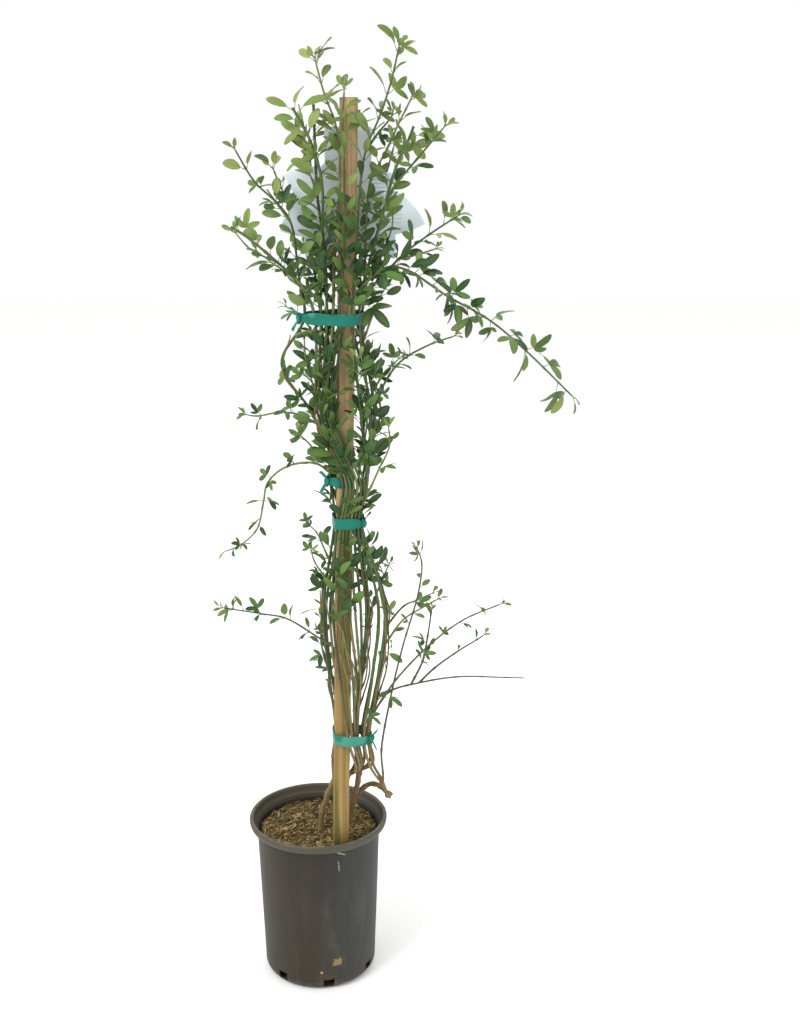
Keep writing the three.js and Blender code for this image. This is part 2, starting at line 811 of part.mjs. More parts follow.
function leafSolid(leaf) {
  const scale = LEAF.length * leaf.size;
  const shape = new THREE.Shape(leafOutline(leaf.size, leaf.simple).map(([x, y]) => new THREE.Vector2(x, y)));
  const g = new THREE.ExtrudeGeometry(shape, { depth: LEAF.thickness / scale, bevelEnabled: false });
  const position = g.attributes.position;
  for (let v = 0; v < position.count; v++) {
    const x = position.getX(v);
    const y = position.getY(v);
    position.setZ(v, position.getZ(v) - LEAF.thickness / scale / 2 + domeAt(x, y));
  }
  const frame = new THREE.Matrix4().makeBasis(leaf.across, leaf.axis, leaf.normal);
  g.scale(scale, scale, scale).applyMatrix4(frame).translate(leaf.root.x, leaf.root.y, leaf.root.z);
  return solid(g);
}

// Balls that stand in for a leaf when its room is tested: [across, along, radius].
const END_BALLS = [[0, 0.3, 0.06], [0, 0.62, 0.19], [0, 0.95, 0.22], [0, 1.25, 0.16], [0, 1.5, 0.06]];
const SIDE_BALLS = [-1, 1].flatMap((side) =>
  [[0.3, 0.17], [0.52, 0.18], [0.76, 0.07]].map(([reach, r]) => {
    const a = radians(SIDE_LEAFLET.bearing);
    return [side * reach * Math.sin(a), STALK + reach * Math.cos(a), r];
  }),
);

function ballsOf(leaf) {
  const scale = LEAF.length * leaf.size;
  const balls = leaf.simple ? END_BALLS : [...END_BALLS, ...SIDE_BALLS];
  return balls.map(([x, y, r]) => ({
    place: leaf.root
      .clone()
      .addScaledVector(leaf.across, x * scale)
      .addScaledVector(leaf.axis, y * scale)
      .addScaledVector(leaf.normal, domeAt(x, y) * scale),
    radius: r * scale,
  }));
}

function distanceToSegment(p, a, b) {
  const ab = b.clone().sub(a);
  const t = clamp(p.clone().sub(a).dot(ab) / ab.lengthSq(), 0, 1);
  return p.distanceTo(a.clone().addScaledVector(ab, t));
}

// Room kept between leaves and other things
const ROOM = { stake: 0.6, tag: 1, stem: 1.9, leaf: 0.4, bundle: 64 };

// True if a ball keeps clear of the stake, the tag, the ties, the soil and every stem but its own.
function ballIsFree(ball, own) {
  const { place: p, radius: r } = ball;
  const cos = Math.cos(stakeTurn);
  const sin = Math.sin(stakeTurn);
  const dx = p.x - stakeX(p.z);
  const dy = p.y - STAKE.y;
  const across = dx * cos + dy * sin;
  const back = -dx * sin + dy * cos;
  const half = STAKE.side / 2 + r + ROOM.stake;
  if (Math.abs(across) < half && Math.abs(back) < half && p.z < STAKE.top + r) return false;
  const tagBack = STAKE.side / 2 + GAP + TAG.thickness / 2;
  const fromTag = Math.hypot(p.x - TAG.x, p.z - TAG.z);
  const nearTongue = Math.abs(across) < TAG.tongueWidth && p.z > TAG.tongueFoot && p.z < TAG.z;
  if ((fromTag < TAG.widest || nearTongue) && Math.abs(back - tagBack) < r + ROOM.tag) return false;
  for (const { z } of Object.values(TIES)) {
    const beyondTape = Math.abs(p.z - z) - (TAPE.width + TAIL.length) / 2;
    if (beyondTape < r && Math.hypot(dx, dy) < ROOM.bundle) return false;
  }
  if (p.z < POT.height + r) return false;
  return allStems.every((stem) => {
    if (stem === own) return true;
    const { samples } = stem.route;
    for (let i = 1; i < samples.length; i++) {
      if (distanceToSegment(p, samples[i - 1], samples[i]) < r + ROOM.stem) return false;
    }
    return true;
  });
}

// True if a ball stays apart from the balls of the leaves already placed.
function isApart(ball, taken) {
  return taken.every(({ place, radius }) => ball.place.distanceTo(place) > ball.radius + radius + ROOM.leaf);
}

const UP = vec(0, 0, 1);
const TOWARDS_LIGHT = vec(0.1, -0.34, 0);

// A leaf that points along an axis, its face turned up, outwards and a little to the light.
function leafToward(stem, root, axis, size, simple, serial) {
  const outward = vec(root.x - stakeX(root.z), root.y - STAKE.y, 0).normalize();
  const face = UP.clone().multiplyScalar(0.55).addScaledVector(outward, 0.35).add(TOWARDS_LIGHT);
  face.add(vec(draw(serial, 2) - 0.5, draw(serial, 3) - 0.5, draw(serial, 4) - 0.5).multiplyScalar(0.8));
  const normal = face.addScaledVector(axis, -face.dot(axis)).normalize();
  return { root, axis, normal, across: axis.clone().cross(normal), size, simple, stem };
}

// A leaf on a stem, leaning to the stem's tip.
function leafOn(stem, distance, turn, size, serial) {
  const { place, direction } = along(stem.route, distance);
  const flat = UP.clone().cross(direction);
  const side = flat.lengthSq() > 0.01 ? flat.normalize() : vec(1, 0, 0);
  const other = direction.clone().cross(side);
  const axis = side.multiplyScalar(Math.cos(turn)).addScaledVector(other, Math.sin(turn));
  axis.multiplyScalar(0.84).addScaledVector(direction, 0.5).addScaledVector(UP, 0.12 + 0.3 * draw(serial, 1));
  const simple = draw(serial, 7) < (stem.simple ?? LEAF.simpleShare);
  return leafToward(stem, place, axis.normalize(), size, simple, serial);
}

// The leaves that stand out come first. Then opposite pairs stand along every leafy stem, each pair turned a
// quarter from the last. A leaf with no room tries other bearings, then is left off.
function growLeaves() {
  const leaves = LARGE_LEAVES.map(({ stem: name, z, axis, size, simple }, k) => {
    const stem = allStems.find((s) => s.name === name);
    const root = along(stem.route, distanceAtHeight(stem.route, z)).place;
    return { ...leafToward(stem, root, vec(...axis).normalize(), size, simple, k), share: 1, turnAbout: true };
  });
  const taken = leaves.flatMap(ballsOf);
  let serial = LARGE_LEAVES.length;
  allStems.forEach((stem, number) => {
    if (stem.kind === "wood" || stem.first >= stem.route.length) return;
    let pair = 0;
    let d = stem.first;
    while (d < stem.route.length - (stem.cut ? 8 : 2)) {
      for (const half of [0, 1]) {
        serial++;
        const share = 0.72 + 0.42 * draw(serial, 5);
        for (let k = 0; k < LEAF.tries; k++) {
          const turn = Math.PI * half + (Math.PI / 2) * pair + number + k * 0.75;
          const leaf = leafOn(stem, d, turn, stem.size * share, serial);
          const balls = ballsOf(leaf);
          if (balls.every((ball) => ballIsFree(ball, stem) && isApart(ball, taken))) {
            leaves.push({ ...leaf, share, turnAbout: (pair + half) % 2 === 0 });
            taken.push(...balls);
            break;
          }
        }
      }
      pair++;
      const onCane = d > stem.crown ? LEAF.crownSpacing : LEAF.caneSpacing;
      d += (stem.kind === "shoot" ? LEAF.pairSpacing : onCane) * (0.85 + 0.3 * draw(serial, 6));
    }
  });
  return leaves;
}

// The solids carry one leaf of each pair, on alternate sides, and of each stem's leaves only the larger ones.
const leaves = growLeaves().filter((leaf) => leaf.turnAbout && leaf.share > LEAF.smallestShare);

function plantSolid(name) {
  const parts = stemsOf[name].map((stem) => bentStem(stem.route, stem.radiusAt, SIDES[stem.kind]));
  const { knuckle } = PLANTS[name];
  if (knuckle) parts.push(solid(new THREE.IcosahedronGeometry(KNUCKLE_RADIUS, 1).translate(...knuckle)));
  for (const leaf of leaves) {
    if (stemsOf[name].some((s) => s.route === leaf.stem.route)) parts.push(leafSolid(leaf));
  }
  return joinAll(parts);
}

// Pot

function potSolid() {
  const { rimRadius, height, collarHeight, shoulderRadius } = POT;
  const { baseRadius, cornerRadius, wall, floor, sides } = POT;
  const corner = [0, 1, 2, 3].map((k) => {
    const a = radians(-90 + k * 30);
    return [baseRadius - cornerRadius * (1 - Math.cos(a)), cornerRadius * (1 + Math.sin(a))];
  });
  const collarFoot = height - collarHeight;
  const profile = [
    [0, 0],
    ...corner,
    [shoulderRadius, collarFoot - 2],
    [rimRadius - 1.5, collarFoot + 1],
    [rimRadius, height - 3.5],
    [rimRadius - 2.4, height],
    [rimRadius - 4.6, height - 1],
    [rimRadius - 6, collarFoot + 2],
    [shoulderRadius - wall, collarFoot - 3],
    [baseRadius - wall, cornerRadius],
    [baseRadius - cornerRadius, floor],
    [0, floor],
  ];
  const points = profile.map(([r, z]) => new THREE.Vector2(r, z));
  const body = solid(new THREE.LatheGeometry(points, sides).rotateX(Math.PI / 2));
  // Drainage slots through the rounded bottom corner
  const slots = [];
  for (let k = 0; k < POT.slots; k++) {
    const slot = new THREE.BoxGeometry(20, POT.slotWidth, POT.slotHeight);
    slot.translate(baseRadius + 2, 0, POT.slotFoot + POT.slotHeight / 2);
    slot.rotateZ(radians(POT.slotBearing + (k * 360) / POT.slots));
    slots.push(solid(slot));
  }
  return slots.reduce((pot, slot) => pot.subtract(slot), body);
}

// Soil

// Room round a trunk in its hole
const HOLE_ROOM = 1.4;

// Height of the compost's rough top: small humps of crossed waves.
function soilHeight(x, y) {
  const broad = Math.sin(x * 0.21 + 1.3) * Math.cos(y * 0.19 - 0.4);
  const crossed = Math.sin(x * 0.47 - y * 0.39 + 2.1);
  const fine = Math.sin(x * 0.83 + y * 0.71);
  return SOIL.top + SOIL.relief * (0.6 * broad + 0.42 * crossed + 0.5 * fine);
}

function soilSolid() {
  const { shoulderRadius, baseRadius, cornerRadius, wall, floor, collarHeight, height } = POT;
  const widening = (shoulderRadius - baseRadius) / (height - collarHeight - 5 - cornerRadius);
  const radiusAt = (z) => baseRadius + widening * (z - cornerRadius) - wall - GAP;
  const topRadius = radiusAt(SOIL.top - 4);
  const profile = [];
  for (let k = 0; k <= SOIL.rings; k++) profile.push([(topRadius * k) / SOIL.rings, SOIL.top]);
  profile.push([radiusAt(cornerRadius), cornerRadius + 1]);
  profile.push([baseRadius - cornerRadius - 0.6, floor + GAP]);
  profile.push([0, floor + GAP]);
  const points = profile.reverse().map(([r, z]) => new THREE.Vector2(r, z));
  const g = new THREE.LatheGeometry(points, POT.sides).rotateX(Math.PI / 2);
  const position = g.attributes.position;
  for (let v = 0; v < position.count; v++) {
    if (position.getZ(v) < SOIL.top - 1) continue;
    const x = position.getX(v);
    const y = position.getY(v);
    const rim = Math.hypot(x, y) > topRadius - 1 ? 3 : 0;
    position.setZ(v, soilHeight(x, y) - rim);
  }
  let soil = solid(g);
  // Curled scraps of bark on the compost
  for (let k = 0; k < SOIL.scraps; k++) {
    const scrap = new THREE.BoxGeometry(13 + 9 * draw(k, 11), 7, 1.6, 3, 1, 1);
    const p = scrap.attributes.position;
    for (let v = 0; v < p.count; v++) p.setZ(v, p.getZ(v) + 0.03 * p.getX(v) ** 2 - 0.4);
    const turn = k * 2.4;
    const r = 30 + 30 * draw(k, 12);
    const x = r * Math.cos(turn);
    const y = r * Math.sin(turn);
    scrap.rotateY(0.3 * (draw(k, 13) - 0.5)).rotateZ(turn * 1.7).translate(x, y, soilHeight(x, y) + 0.6);
    soil = soil.add(solid(scrap));
  }
  // Plain holes for the stake and the three trunks
  const half = STAKE.side / 2 + GAP;
  soil = soil.subtract(solid(prismBeside(half, half, STAKE.chamfer, STAKE.foot - GAP, POT.height + 20)));
  for (const stems of Object.values(stemsOf)) {
    for (const stem of stems.filter((s) => s.kind === "wood" && s.route.samples[0].z < SOIL.top)) {
      const foot = stem.route.samples[0];
      const radius = stem.radiusAt(0) + HOLE_ROOM;
      const hole = new THREE.CylinderGeometry(radius, radius, POT.height, 12).rotateX(Math.PI / 2);
      hole.translate(foot.x, foot.y, foot.z - GAP + POT.height / 2);
      soil = soil.subtract(solid(hole));
    }
  }
  const bodies = soil.decompose().sort((a, b) => b.volume() - a.volume());
  return bodies[0];
}

// The whole object

const finish = (color, roughness) => new THREE.MeshStandardMaterial({ color, roughness });
const FINISHES = {
  pot: finish(0x4b4941, 0.6),
  soil: finish(0x6f5a42, 0.95),
  stake: finish(0xb4977a, 0.8),
  tape: finish(0x00856f, 0.35),
  tag: finish(0xdbe4ea, 0.4),
  foliage: finish(0x4a7a34, 0.55),
};

const jasmine = new THREE.Group();
jasmine.add(mesh("pot", geometryOf(potSolid()), FINISHES.pot));
jasmine.add(mesh("soil", geometryOf(soilSolid()), FINISHES.soil));
jasmine.add(mesh("stake", stakeGeometry, FINISHES.stake));
jasmine.add(mesh("care_tag", tagSolid(), FINISHES.tag));
for (const [name, tie] of Object.entries(TIES)) {
  jasmine.add(mesh(name, geometryOf(tieSolid(tie)), FINISHES.tape));
}
for (const name of Object.keys(PLANTS)) {
  jasmine.add(mesh(name, geometryOf(plantSolid(name)), FINISHES.foliage));
}

export default jasmine;
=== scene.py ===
# %% [markdown]
# # A potted winter jasmine on its stake
# The real object is a young climber from a garden centre. Three rooted plants share one nursery pot, and their slim
# square-sided stems are tied to a wooden stake with green stretch tape. This lesson rebuilds it piece by piece. The
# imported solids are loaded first, because every finished piece stands for one of them and keeps its place.

# %% The frame
import json
import math

import bpy
import numpy as np
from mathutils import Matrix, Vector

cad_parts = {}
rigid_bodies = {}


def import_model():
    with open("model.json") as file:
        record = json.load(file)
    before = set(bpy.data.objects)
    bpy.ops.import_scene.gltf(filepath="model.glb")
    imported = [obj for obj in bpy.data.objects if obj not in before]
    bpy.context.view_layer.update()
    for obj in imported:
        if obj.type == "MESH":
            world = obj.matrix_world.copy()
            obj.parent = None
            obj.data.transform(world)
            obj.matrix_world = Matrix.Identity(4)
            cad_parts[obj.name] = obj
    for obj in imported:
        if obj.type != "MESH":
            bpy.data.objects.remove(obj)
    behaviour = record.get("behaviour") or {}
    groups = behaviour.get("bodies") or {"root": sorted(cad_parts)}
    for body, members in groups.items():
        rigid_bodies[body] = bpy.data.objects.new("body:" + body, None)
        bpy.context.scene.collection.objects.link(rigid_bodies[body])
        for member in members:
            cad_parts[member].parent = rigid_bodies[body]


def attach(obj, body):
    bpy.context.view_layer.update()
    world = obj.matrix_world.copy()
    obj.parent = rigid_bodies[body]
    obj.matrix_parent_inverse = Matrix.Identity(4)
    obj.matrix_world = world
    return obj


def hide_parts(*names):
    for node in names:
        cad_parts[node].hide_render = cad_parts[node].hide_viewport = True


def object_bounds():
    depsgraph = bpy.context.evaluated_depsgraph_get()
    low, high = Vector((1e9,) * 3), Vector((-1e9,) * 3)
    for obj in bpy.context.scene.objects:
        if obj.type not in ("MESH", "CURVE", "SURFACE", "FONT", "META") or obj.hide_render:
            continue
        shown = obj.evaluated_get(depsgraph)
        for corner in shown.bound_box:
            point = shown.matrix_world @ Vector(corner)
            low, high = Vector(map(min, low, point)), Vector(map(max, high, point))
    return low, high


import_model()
cad_box = [list(corner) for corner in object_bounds()]
MM = 0.001
print("the solids span", [round(high - low, 3) for low, high in zip(*cad_box)], "metres")

# %% [markdown]
# ## Camera, floor and light
# The picture was taken from standing height, a little to the right of the pot and tilted down. The rim of the pot
# gives that view: its ellipse tells how steeply the camera looks at it. A white surround and a pale floor light the
# leaves softly from all sides, and one broad lamp on the left gives the pot its sheen.

# %% The camera
FOCAL_PIXELS, PICTURE_HEIGHT, SENSOR = 1419, 1024, 36
TILT_DOWN = 16.3
CAMERA_PLACE = (0.0983, -1.538, 1.028)


def add_object(name, data):
    made = bpy.data.objects.new(name, data)
    bpy.context.collection.objects.link(made)
    return made


camera = add_object("camera", bpy.data.cameras.new("camera"))
camera.data.sensor_width = SENSOR
camera.data.lens = SENSOR * FOCAL_PIXELS / PICTURE_HEIGHT
camera.location = CAMERA_PLACE
camera.rotation_euler = (math.radians(90 - TILT_DOWN), 0, 0)
bpy.context.scene.camera = camera
bpy.context.scene.view_settings.view_transform = "Standard"
print("lens", round(camera.data.lens, 1), "mm")

# %% Shader maths
class Value:
    """A shader socket that can stand in a Python expression. Each operation adds one Math node."""

    def __init__(self, tree, socket):
        self.tree, self.socket = tree, socket

    def math(self, operation, *values):
        return add_node(self.tree, "ShaderNodeMath", {"operation": operation}, dict(enumerate(values)))

    def __add__(self, other): return self.math("ADD", self, other)
    def __radd__(self, other): return self.math("ADD", other, self)
    def __sub__(self, other): return self.math("SUBTRACT", self, other)
    def __rsub__(self, other): return self.math("SUBTRACT", other, self)
    def __mul__(self, other): return self.math("MULTIPLY", self, other)
    def __rmul__(self, other): return self.math("MULTIPLY", other, self)
    def __pow__(self, other): return self.math("POWER", self, other)
    def sin(self): return self.math("SINE", self)
    def abs(self): return self.math("ABSOLUTE", self)
    def fraction(self): return self.math("FRACT", self)
    def over(self, edge): return self.math("GREATER_THAN", self, edge)

    def rise(self, low, high):
        """0 below low, 1 above high, with a smooth step between."""
        return add_node(self.tree, "ShaderNodeMapRange", {"interpolation_type": "SMOOTHSTEP"},
                        {0: self, 1: low, 2: high})

    def fall(self, low, high):
        return 1 - self.rise(low, high)

    def near(self, centre, inner, outer):
        """1 within inner of the centre and 0 beyond outer."""
        return (self - centre).abs().fall(inner, outer)


def add_node(tree, kind, settings, inputs, output=0):
    """Adds any node: its settings first, then the values or links of its sockets, by name or place."""
    node = tree.nodes.new(kind)
    for name, value in settings.items():
        setattr(node, name, value)
    for name, value in inputs.items():
        if isinstance(value, Value):
            tree.links.new(value.socket, node.inputs[name])
        else:
            node.inputs[name].default_value = value
    return Value(tree, node.outputs[output])


def srgb(red, green, blue):
    """The linear colour of an 8-bit screen colour."""
    c = np.array([red, green, blue]) / 255
    linear = np.where(c <= 0.04045, c / 12.92, ((c + 0.055) / 1.055) ** 2.4)
    return (*linear.tolist(), 1.0)


class Finish:
    """A material with one Principled shader and short ways to add to it."""

    def __init__(self, name, specular, roughness=0.5):
        self.material = bpy.data.materials.new(name)
        self.material.use_nodes = True
        self.tree = self.material.node_tree
        self.shader = self.tree.nodes["Principled BSDF"]
        self.shader.inputs["Specular IOR Level"].default_value = specular
        self.shader.inputs["Roughness"].default_value = roughness

    def node(self, kind, settings={}, inputs={}, output=0):
        return add_node(self.tree, kind, settings, inputs, output)

    def parts(self, kind, value):
        """The numbers that a vector or a colour holds."""
        return [Value(self.tree, out) for out in self.node(kind, {}, {0: value}).socket.node.outputs]

    def place(self):
        """The x, y and z of Object coordinates."""
        return self.parts("ShaderNodeSeparateXYZ", self.node("ShaderNodeTexCoord", output=3))

    def unrolled(self):
        """The piece's own U and V."""
        return self.parts("ShaderNodeSeparateXYZ", self.node("ShaderNodeUVMap", {"uv_map": "UVMap"}))[:2]

    def look(self):
        """The three numbers that the mesh carries in its attribute look."""
        return self.parts("ShaderNodeSeparateColor", self.node("ShaderNodeAttribute", {"attribute_name": "look"}))

    def noise(self, scale, detail=3.0, stretch=None, roughness=0.55):
        """Noise of Object coordinates, which stretch multiplies by a different number along each axis."""
        vector = self.node("ShaderNodeTexCoord", output=3)
        if stretch:
            vector = self.node("ShaderNodeMapping", {}, {"Vector": vector, "Scale": stretch})
        inputs = {"Vector": vector, "Scale": scale, "Detail": detail, "Roughness": roughness}
        return self.node("ShaderNodeTexNoise", {}, inputs)

    def mix(self, share, first, second):
        """The first colour where share is 0 and the second where it is 1."""
        first, second = (c if isinstance(c, Value) else srgb(*c) for c in (first, second))
        return self.node("ShaderNodeMix", {"data_type": "RGBA"}, {0: share, 6: first, 7: second}, 2)

    def coat(self, colour, *coats):
        """Lays coats over a colour, each by its own share."""
        for share, over in coats:
            colour = self.mix(share, colour, over)
        return colour

    def paint(self, colour, roughness, height, distance, strength):
        """Links the colour, the roughness if there is one, and a bump of the height in metres."""
        bump = {"Height": height, "Distance": distance, "Strength": strength}
        sockets = {"Base Color": colour, "Normal": self.node("ShaderNodeBump", {}, bump)}
        if roughness is not None:
            sockets["Roughness"] = roughness
        for name, value in sockets.items():
            self.tree.links.new(value.socket, self.shader.inputs[name])
        return self.material

print("shader tools ready")

# %% Mesh tools
def grid_faces(rows, columns):
    """Quads that join a grid of points, closed across its columns, as the row and the column of each corner."""
    i, j = np.meshgrid(np.arange(rows - 1), np.arange(columns), indexing="ij")
    corner_rows = np.stack([i, i, i + 1, i + 1], -1).reshape(-1, 4)
    corner_columns = np.stack([j, j + 1, j + 1, j], -1).reshape(-1, 4)
    return corner_rows, corner_columns


class Surface:
    """Gathers grids of points into one mesh, with UVs and an attribute named look."""

    def __init__(self):
        self.points, self.faces, self.uvs, self.looks, self.count = [], [], [], [], 0

    def add(self, points, faces, uvs, look=None):
        """points (n, 3) in mm, faces (k, 3 or 4), uvs (k, 3 or 4, 2), look (n, 3)."""
        self.points.append(points)
        self.faces.append(faces + self.count)
        self.uvs.append(uvs.reshape(-1, 2))
        if look is not None:
            self.looks.append(look)
        self.count += len(points)

    def add_loop(self, points):
        """A closed loop: points (rows, columns, 3), joined round both ways."""
        rows, columns, _ = points.shape
        corner_rows, corner_columns = grid_faces(rows + 1, columns)
        quads = corner_rows % rows * columns + corner_columns % columns
        self.add(points.reshape(-1, 3), quads, np.stack([corner_rows / rows, corner_columns / columns], -1))

    def add_tubes(self, rings, repeat=(1.0, 1.0), lengths=None, look=None):
        """Closed tubes: rings (tubes, rows, columns, 3), each closed by a cap round its end ring's middle. The UV
        runs round the tube in U and along it in V."""
        tubes, rows, columns, _ = rings.shape

        def capped(grid):
            return np.concatenate([grid.reshape(tubes, -1, 3), grid[:, [0, -1]].mean(2)], 1).reshape(-1, 3)

        base = self.count
        offsets = (np.arange(tubes) * (rows * columns + 2))[:, None, None]
        corner_rows, corner_columns = grid_faces(rows, columns)
        quads = corner_rows * columns + corner_columns % columns
        if lengths is None:
            lengths = np.broadcast_to(np.linspace(0, 1, rows), (tubes, rows))
        u = np.broadcast_to(corner_columns / columns, (tubes, *corner_columns.shape))
        side_uv = np.stack([u * repeat[0], lengths[:, corner_rows] * repeat[1]], -1)
        if look is not None:
            look = capped(np.broadcast_to(look, rings.shape))
        self.add(capped(rings), (quads[None] + offsets).reshape(-1, 4), side_uv, look)
        ring = np.arange(columns)
        ahead = (ring + 1) % columns
        for row, cap in ((0, (ahead, ring)), (rows - 1, (ring, ahead))):
            middle = np.full(columns, rows * columns + (row > 0))
            faces = np.stack([cap[0] + row * columns, cap[1] + row * columns, middle], -1)
            along = np.broadcast_to(lengths[:, row, None, None] * repeat[1], (tubes, columns, 3))
            across = np.broadcast_to(faces % columns / columns * repeat[0], (tubes, columns, 3))
            self.faces.append((faces[None] + offsets).reshape(-1, 3) + base)
            self.uvs.append(np.stack([across, along], -1).reshape(-1, 2))

    def make(self, name, finish, slot, node, sharp):
        """The gathered mesh as a finished piece that rides on the root and replaces its solid."""
        points = np.concatenate(self.points) * MM
        corners = np.concatenate([face.ravel() for face in self.faces])
        sizes = np.concatenate([np.full(len(face), face.shape[1]) for face in self.faces])
        mesh = bpy.data.meshes.new(name)
        mesh.vertices.add(len(points))
        mesh.vertices.foreach_set("co", points.ravel())
        mesh.loops.add(len(corners))
        mesh.loops.foreach_set("vertex_index", corners)
        mesh.polygons.add(len(sizes))
        mesh.polygons.foreach_set("loop_start", np.concatenate([[0], np.cumsum(sizes)[:-1]]))
        mesh.update(calc_edges=True)
        mesh.uv_layers.new(name="UVMap").data.foreach_set("uv", np.concatenate(self.uvs).ravel())
        if self.looks:
            layer = mesh.color_attributes.new("look", "FLOAT_COLOR", "POINT")
            layer.data.foreach_set("color", np.insert(np.concatenate(self.looks), 3, 1.0, axis=1).ravel())
        mesh.polygons.foreach_set("use_smooth", np.ones(len(sizes), bool))
        mesh.set_sharp_from_angle(angle=math.radians(sharp))
        mesh.materials.append(finish)
        piece = add_object(name, mesh)
        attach(piece, "root")
        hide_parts(node)
        print(name, len(points), "points,", int((sizes - 2).sum()), "triangles")


def draw(n, salt):
    """A repeatable draw between 0 and 1 for item number n and purpose salt."""
    s = np.sin(n * 12.9898 + salt * 78.233) * 43758.5453
    return s - np.floor(s)


def between(span, share):
    return span[0] + (span[1] - span[0]) * share


def unit(v):
    """Each vector divided by its length."""
    v = np.asarray(v, float)
    return v / np.linalg.norm(v, axis=-1, keepdims=True)


def spun(x, y, angle):
    """The coordinates x and y turned by an angle."""
    cos, sin = math.cos(angle), math.sin(angle)
    return x * cos - y * sin, x * sin + y * cos


def round_turn(count):
    """Even angles of one turn."""
    return np.arange(count) * 2 * math.pi / count

print("mesh tools ready")

# %% [markdown]
# ## Floor and lamps
# A studio sweep would do, but a flat pale floor and a bright surround are enough for an object that is shown on
# white. The lamps are large, so no hard shadow falls on the leaves.

# %% Floor and lamps
def floor(half=6.0):
    mesh = bpy.data.meshes.new("floor")
    mesh.from_pydata([(-half, -half, 0), (half, -half, 0), (half, half, 0), (-half, half, 0)], [], [[0, 1, 2, 3]])
    pale = Finish("pale_floor", 0.5, 0.9)
    speckle = pale.mix(pale.noise(40.0), (250, 250, 249), (253, 253, 253))
    pale.tree.links.new(speckle.socket, pale.shader.inputs["Base Color"])
    mesh.materials.append(pale.material)
    add_object("floor", mesh)


def lamp(name, place, target, size, watts, colour):
    data = bpy.data.lights.new(name, "AREA")
    data.size, data.energy, data.color = size, watts, colour
    made = add_object(name, data)
    made.location = place
    x, y, z = np.array(target) - np.array(place)
    made.rotation_euler = (math.atan2(math.hypot(x, y), -z), 0, math.atan2(y, x) - math.pi / 2)


floor()
lamp("key", (-1.7, -1.7, 2.6), (0.05, 0, 0.6), 1.3, 58, (1.0, 0.985, 0.96))
lamp("fill", (2.2, -1.4, 1.6), (0.05, 0, 0.6), 2.0, 12, (0.96, 0.98, 1.0))
lamp("back", (0.4, 2.4, 2.4), (0.05, 0, 0.7), 1.6, 16, (1.0, 1.0, 1.0))
world = bpy.data.worlds.new("surround")
world.use_nodes = True
surround = world.node_tree.nodes["Background"]
surround.inputs["Color"].default_value, surround.inputs["Strength"].default_value = (1.0, 1.0, 1.0, 1.0), 1.0
bpy.context.scene.world = world
print("lit by", len(bpy.data.lights), "lamps")

# %% [markdown]
# ## How the plants grow
# The stems follow the same points as the solids do. A smooth line through a few points gives each cane, and the lanes
# round the stake keep sixteen canes from crossing. The sizes are in millimetres, and each group of canes stands on
# the arc through three places at each height.

# %% Sizes shared with the solids
GAP = 0.3
POT = dict(height=200, shoulder=73, base=67, corner=11, wall=1.8, floor=3.4, collar=188, slots=7, slot_bearing=24.6,
           slot_width=13, slot_top=16)
SOIL = dict(top=182, relief=2.2, scraps=5)
STAKE = dict(side=17, turn=math.radians(10), y=-45, foot_x=24.6, lean=0.0213, foot=48, top=1028)
TAPE = dict(width=12.4, clearance=0.5)
TAG = dict(x=46.5, z=926, thickness=0.8, core=44, widest=86, spread=27, tongue_width=13, tongue_foot=797,
           top_height=73, top_half=24)
PETALS = [[22, 60], [158, 72], [-18, 84], [203, 78], [-52, 78], [232, 74]]
CANE_RADIUS = dict(foot=1.6, tie=1.4, top=1.25, tip=0.8)
SHOOT_RADII = (1.2, 0.7)
CANE_STEP, SHOOT_STEP = 80, 34
ALL = ["left", "front", "right"]
TIES = dict(tie_low=(324, -25, ALL), tie_middle=(582, -20, ALL), tie_upper=(627, 205, ["left"]),
            tie_top=(805, 190, ALL))

# Each group: how many canes it has, and at each height its first, middle and last place beside the stake.
LANES = {
    "left": (3, [
        [290, [-11, 16], [-4, 18.5], [3, 16.5]],
        [324, [-8, 13.6], [-2, 15.6], [4.5, 14]],
        [400, [-16, 7], [-15, 13], [-8.5, 14]],
        [480, [-22, -2], [-20, 4], [-15, 9]],
        [582, [-11, 11], [-6, 14.5], [1.5, 12.8]],
        [627, [-15.5, -1], [-17, 5], [-12.5, 11]],
        [700, [-19, 1], [-18.5, 6], [-13, 10.5]],
        [805, [-27, 4], [-20, 6], [-14, 7]],
    ]),
    "front": (7, [
        [290, [17, -12], [30, -4], [16.5, 9]],
        [324, [8, -15], [25, -9], [14, 7]],
        [400, [-2, -15.5], [24, -17], [21, 3]],
        [480, [-11, -15], [8, -18], [26, -11]],
        [582, [-7, -13.4], [4, -17.2], [15.5, -12]],
        [627, [-1.5, -14.5], [10, -20], [21.5, -11]],
        [700, [-32, -7], [-21, -14], [-9.5, -14]],
        [805, [-39, -5], [-20, -15], [-1, -15]],
    ]),
    "right": (6, [
        [290, [33, -9], [46, 6], [16, 20]],
        [324, [26, -12], [42, 2], [13, 15.5]],
        [400, [34, -10], [56, 2], [23, 13]],
        [480, [40, -9], [62, 0], [27, 10]],
        [582, [18, -8.5], [21.5, 2], [12.5, 12]],
        [627, [24, -6.5], [28, 4], [15, 13]],
        [700, [17, -9], [46, 2], [19, 12]],
        [805, [6.5, -14.5], [31, 14], [-8, 16.5]],
    ]),
}
print(sum(count for count, _ in LANES.values()), "canes in", len(LANES), "groups")

# %% The three plants
def wood(name, radius, *points):
    """An old stem: its radius at the foot and the tip, and its points."""
    return dict(name=name, radius=radius, points=points)


def cane(name, leaves, foot, top, **more):
    """A cane: the height and the size of its first leaves, and its points below and above the lanes."""
    return dict(name=name, leaves=leaves, foot=foot, top=top, **more)


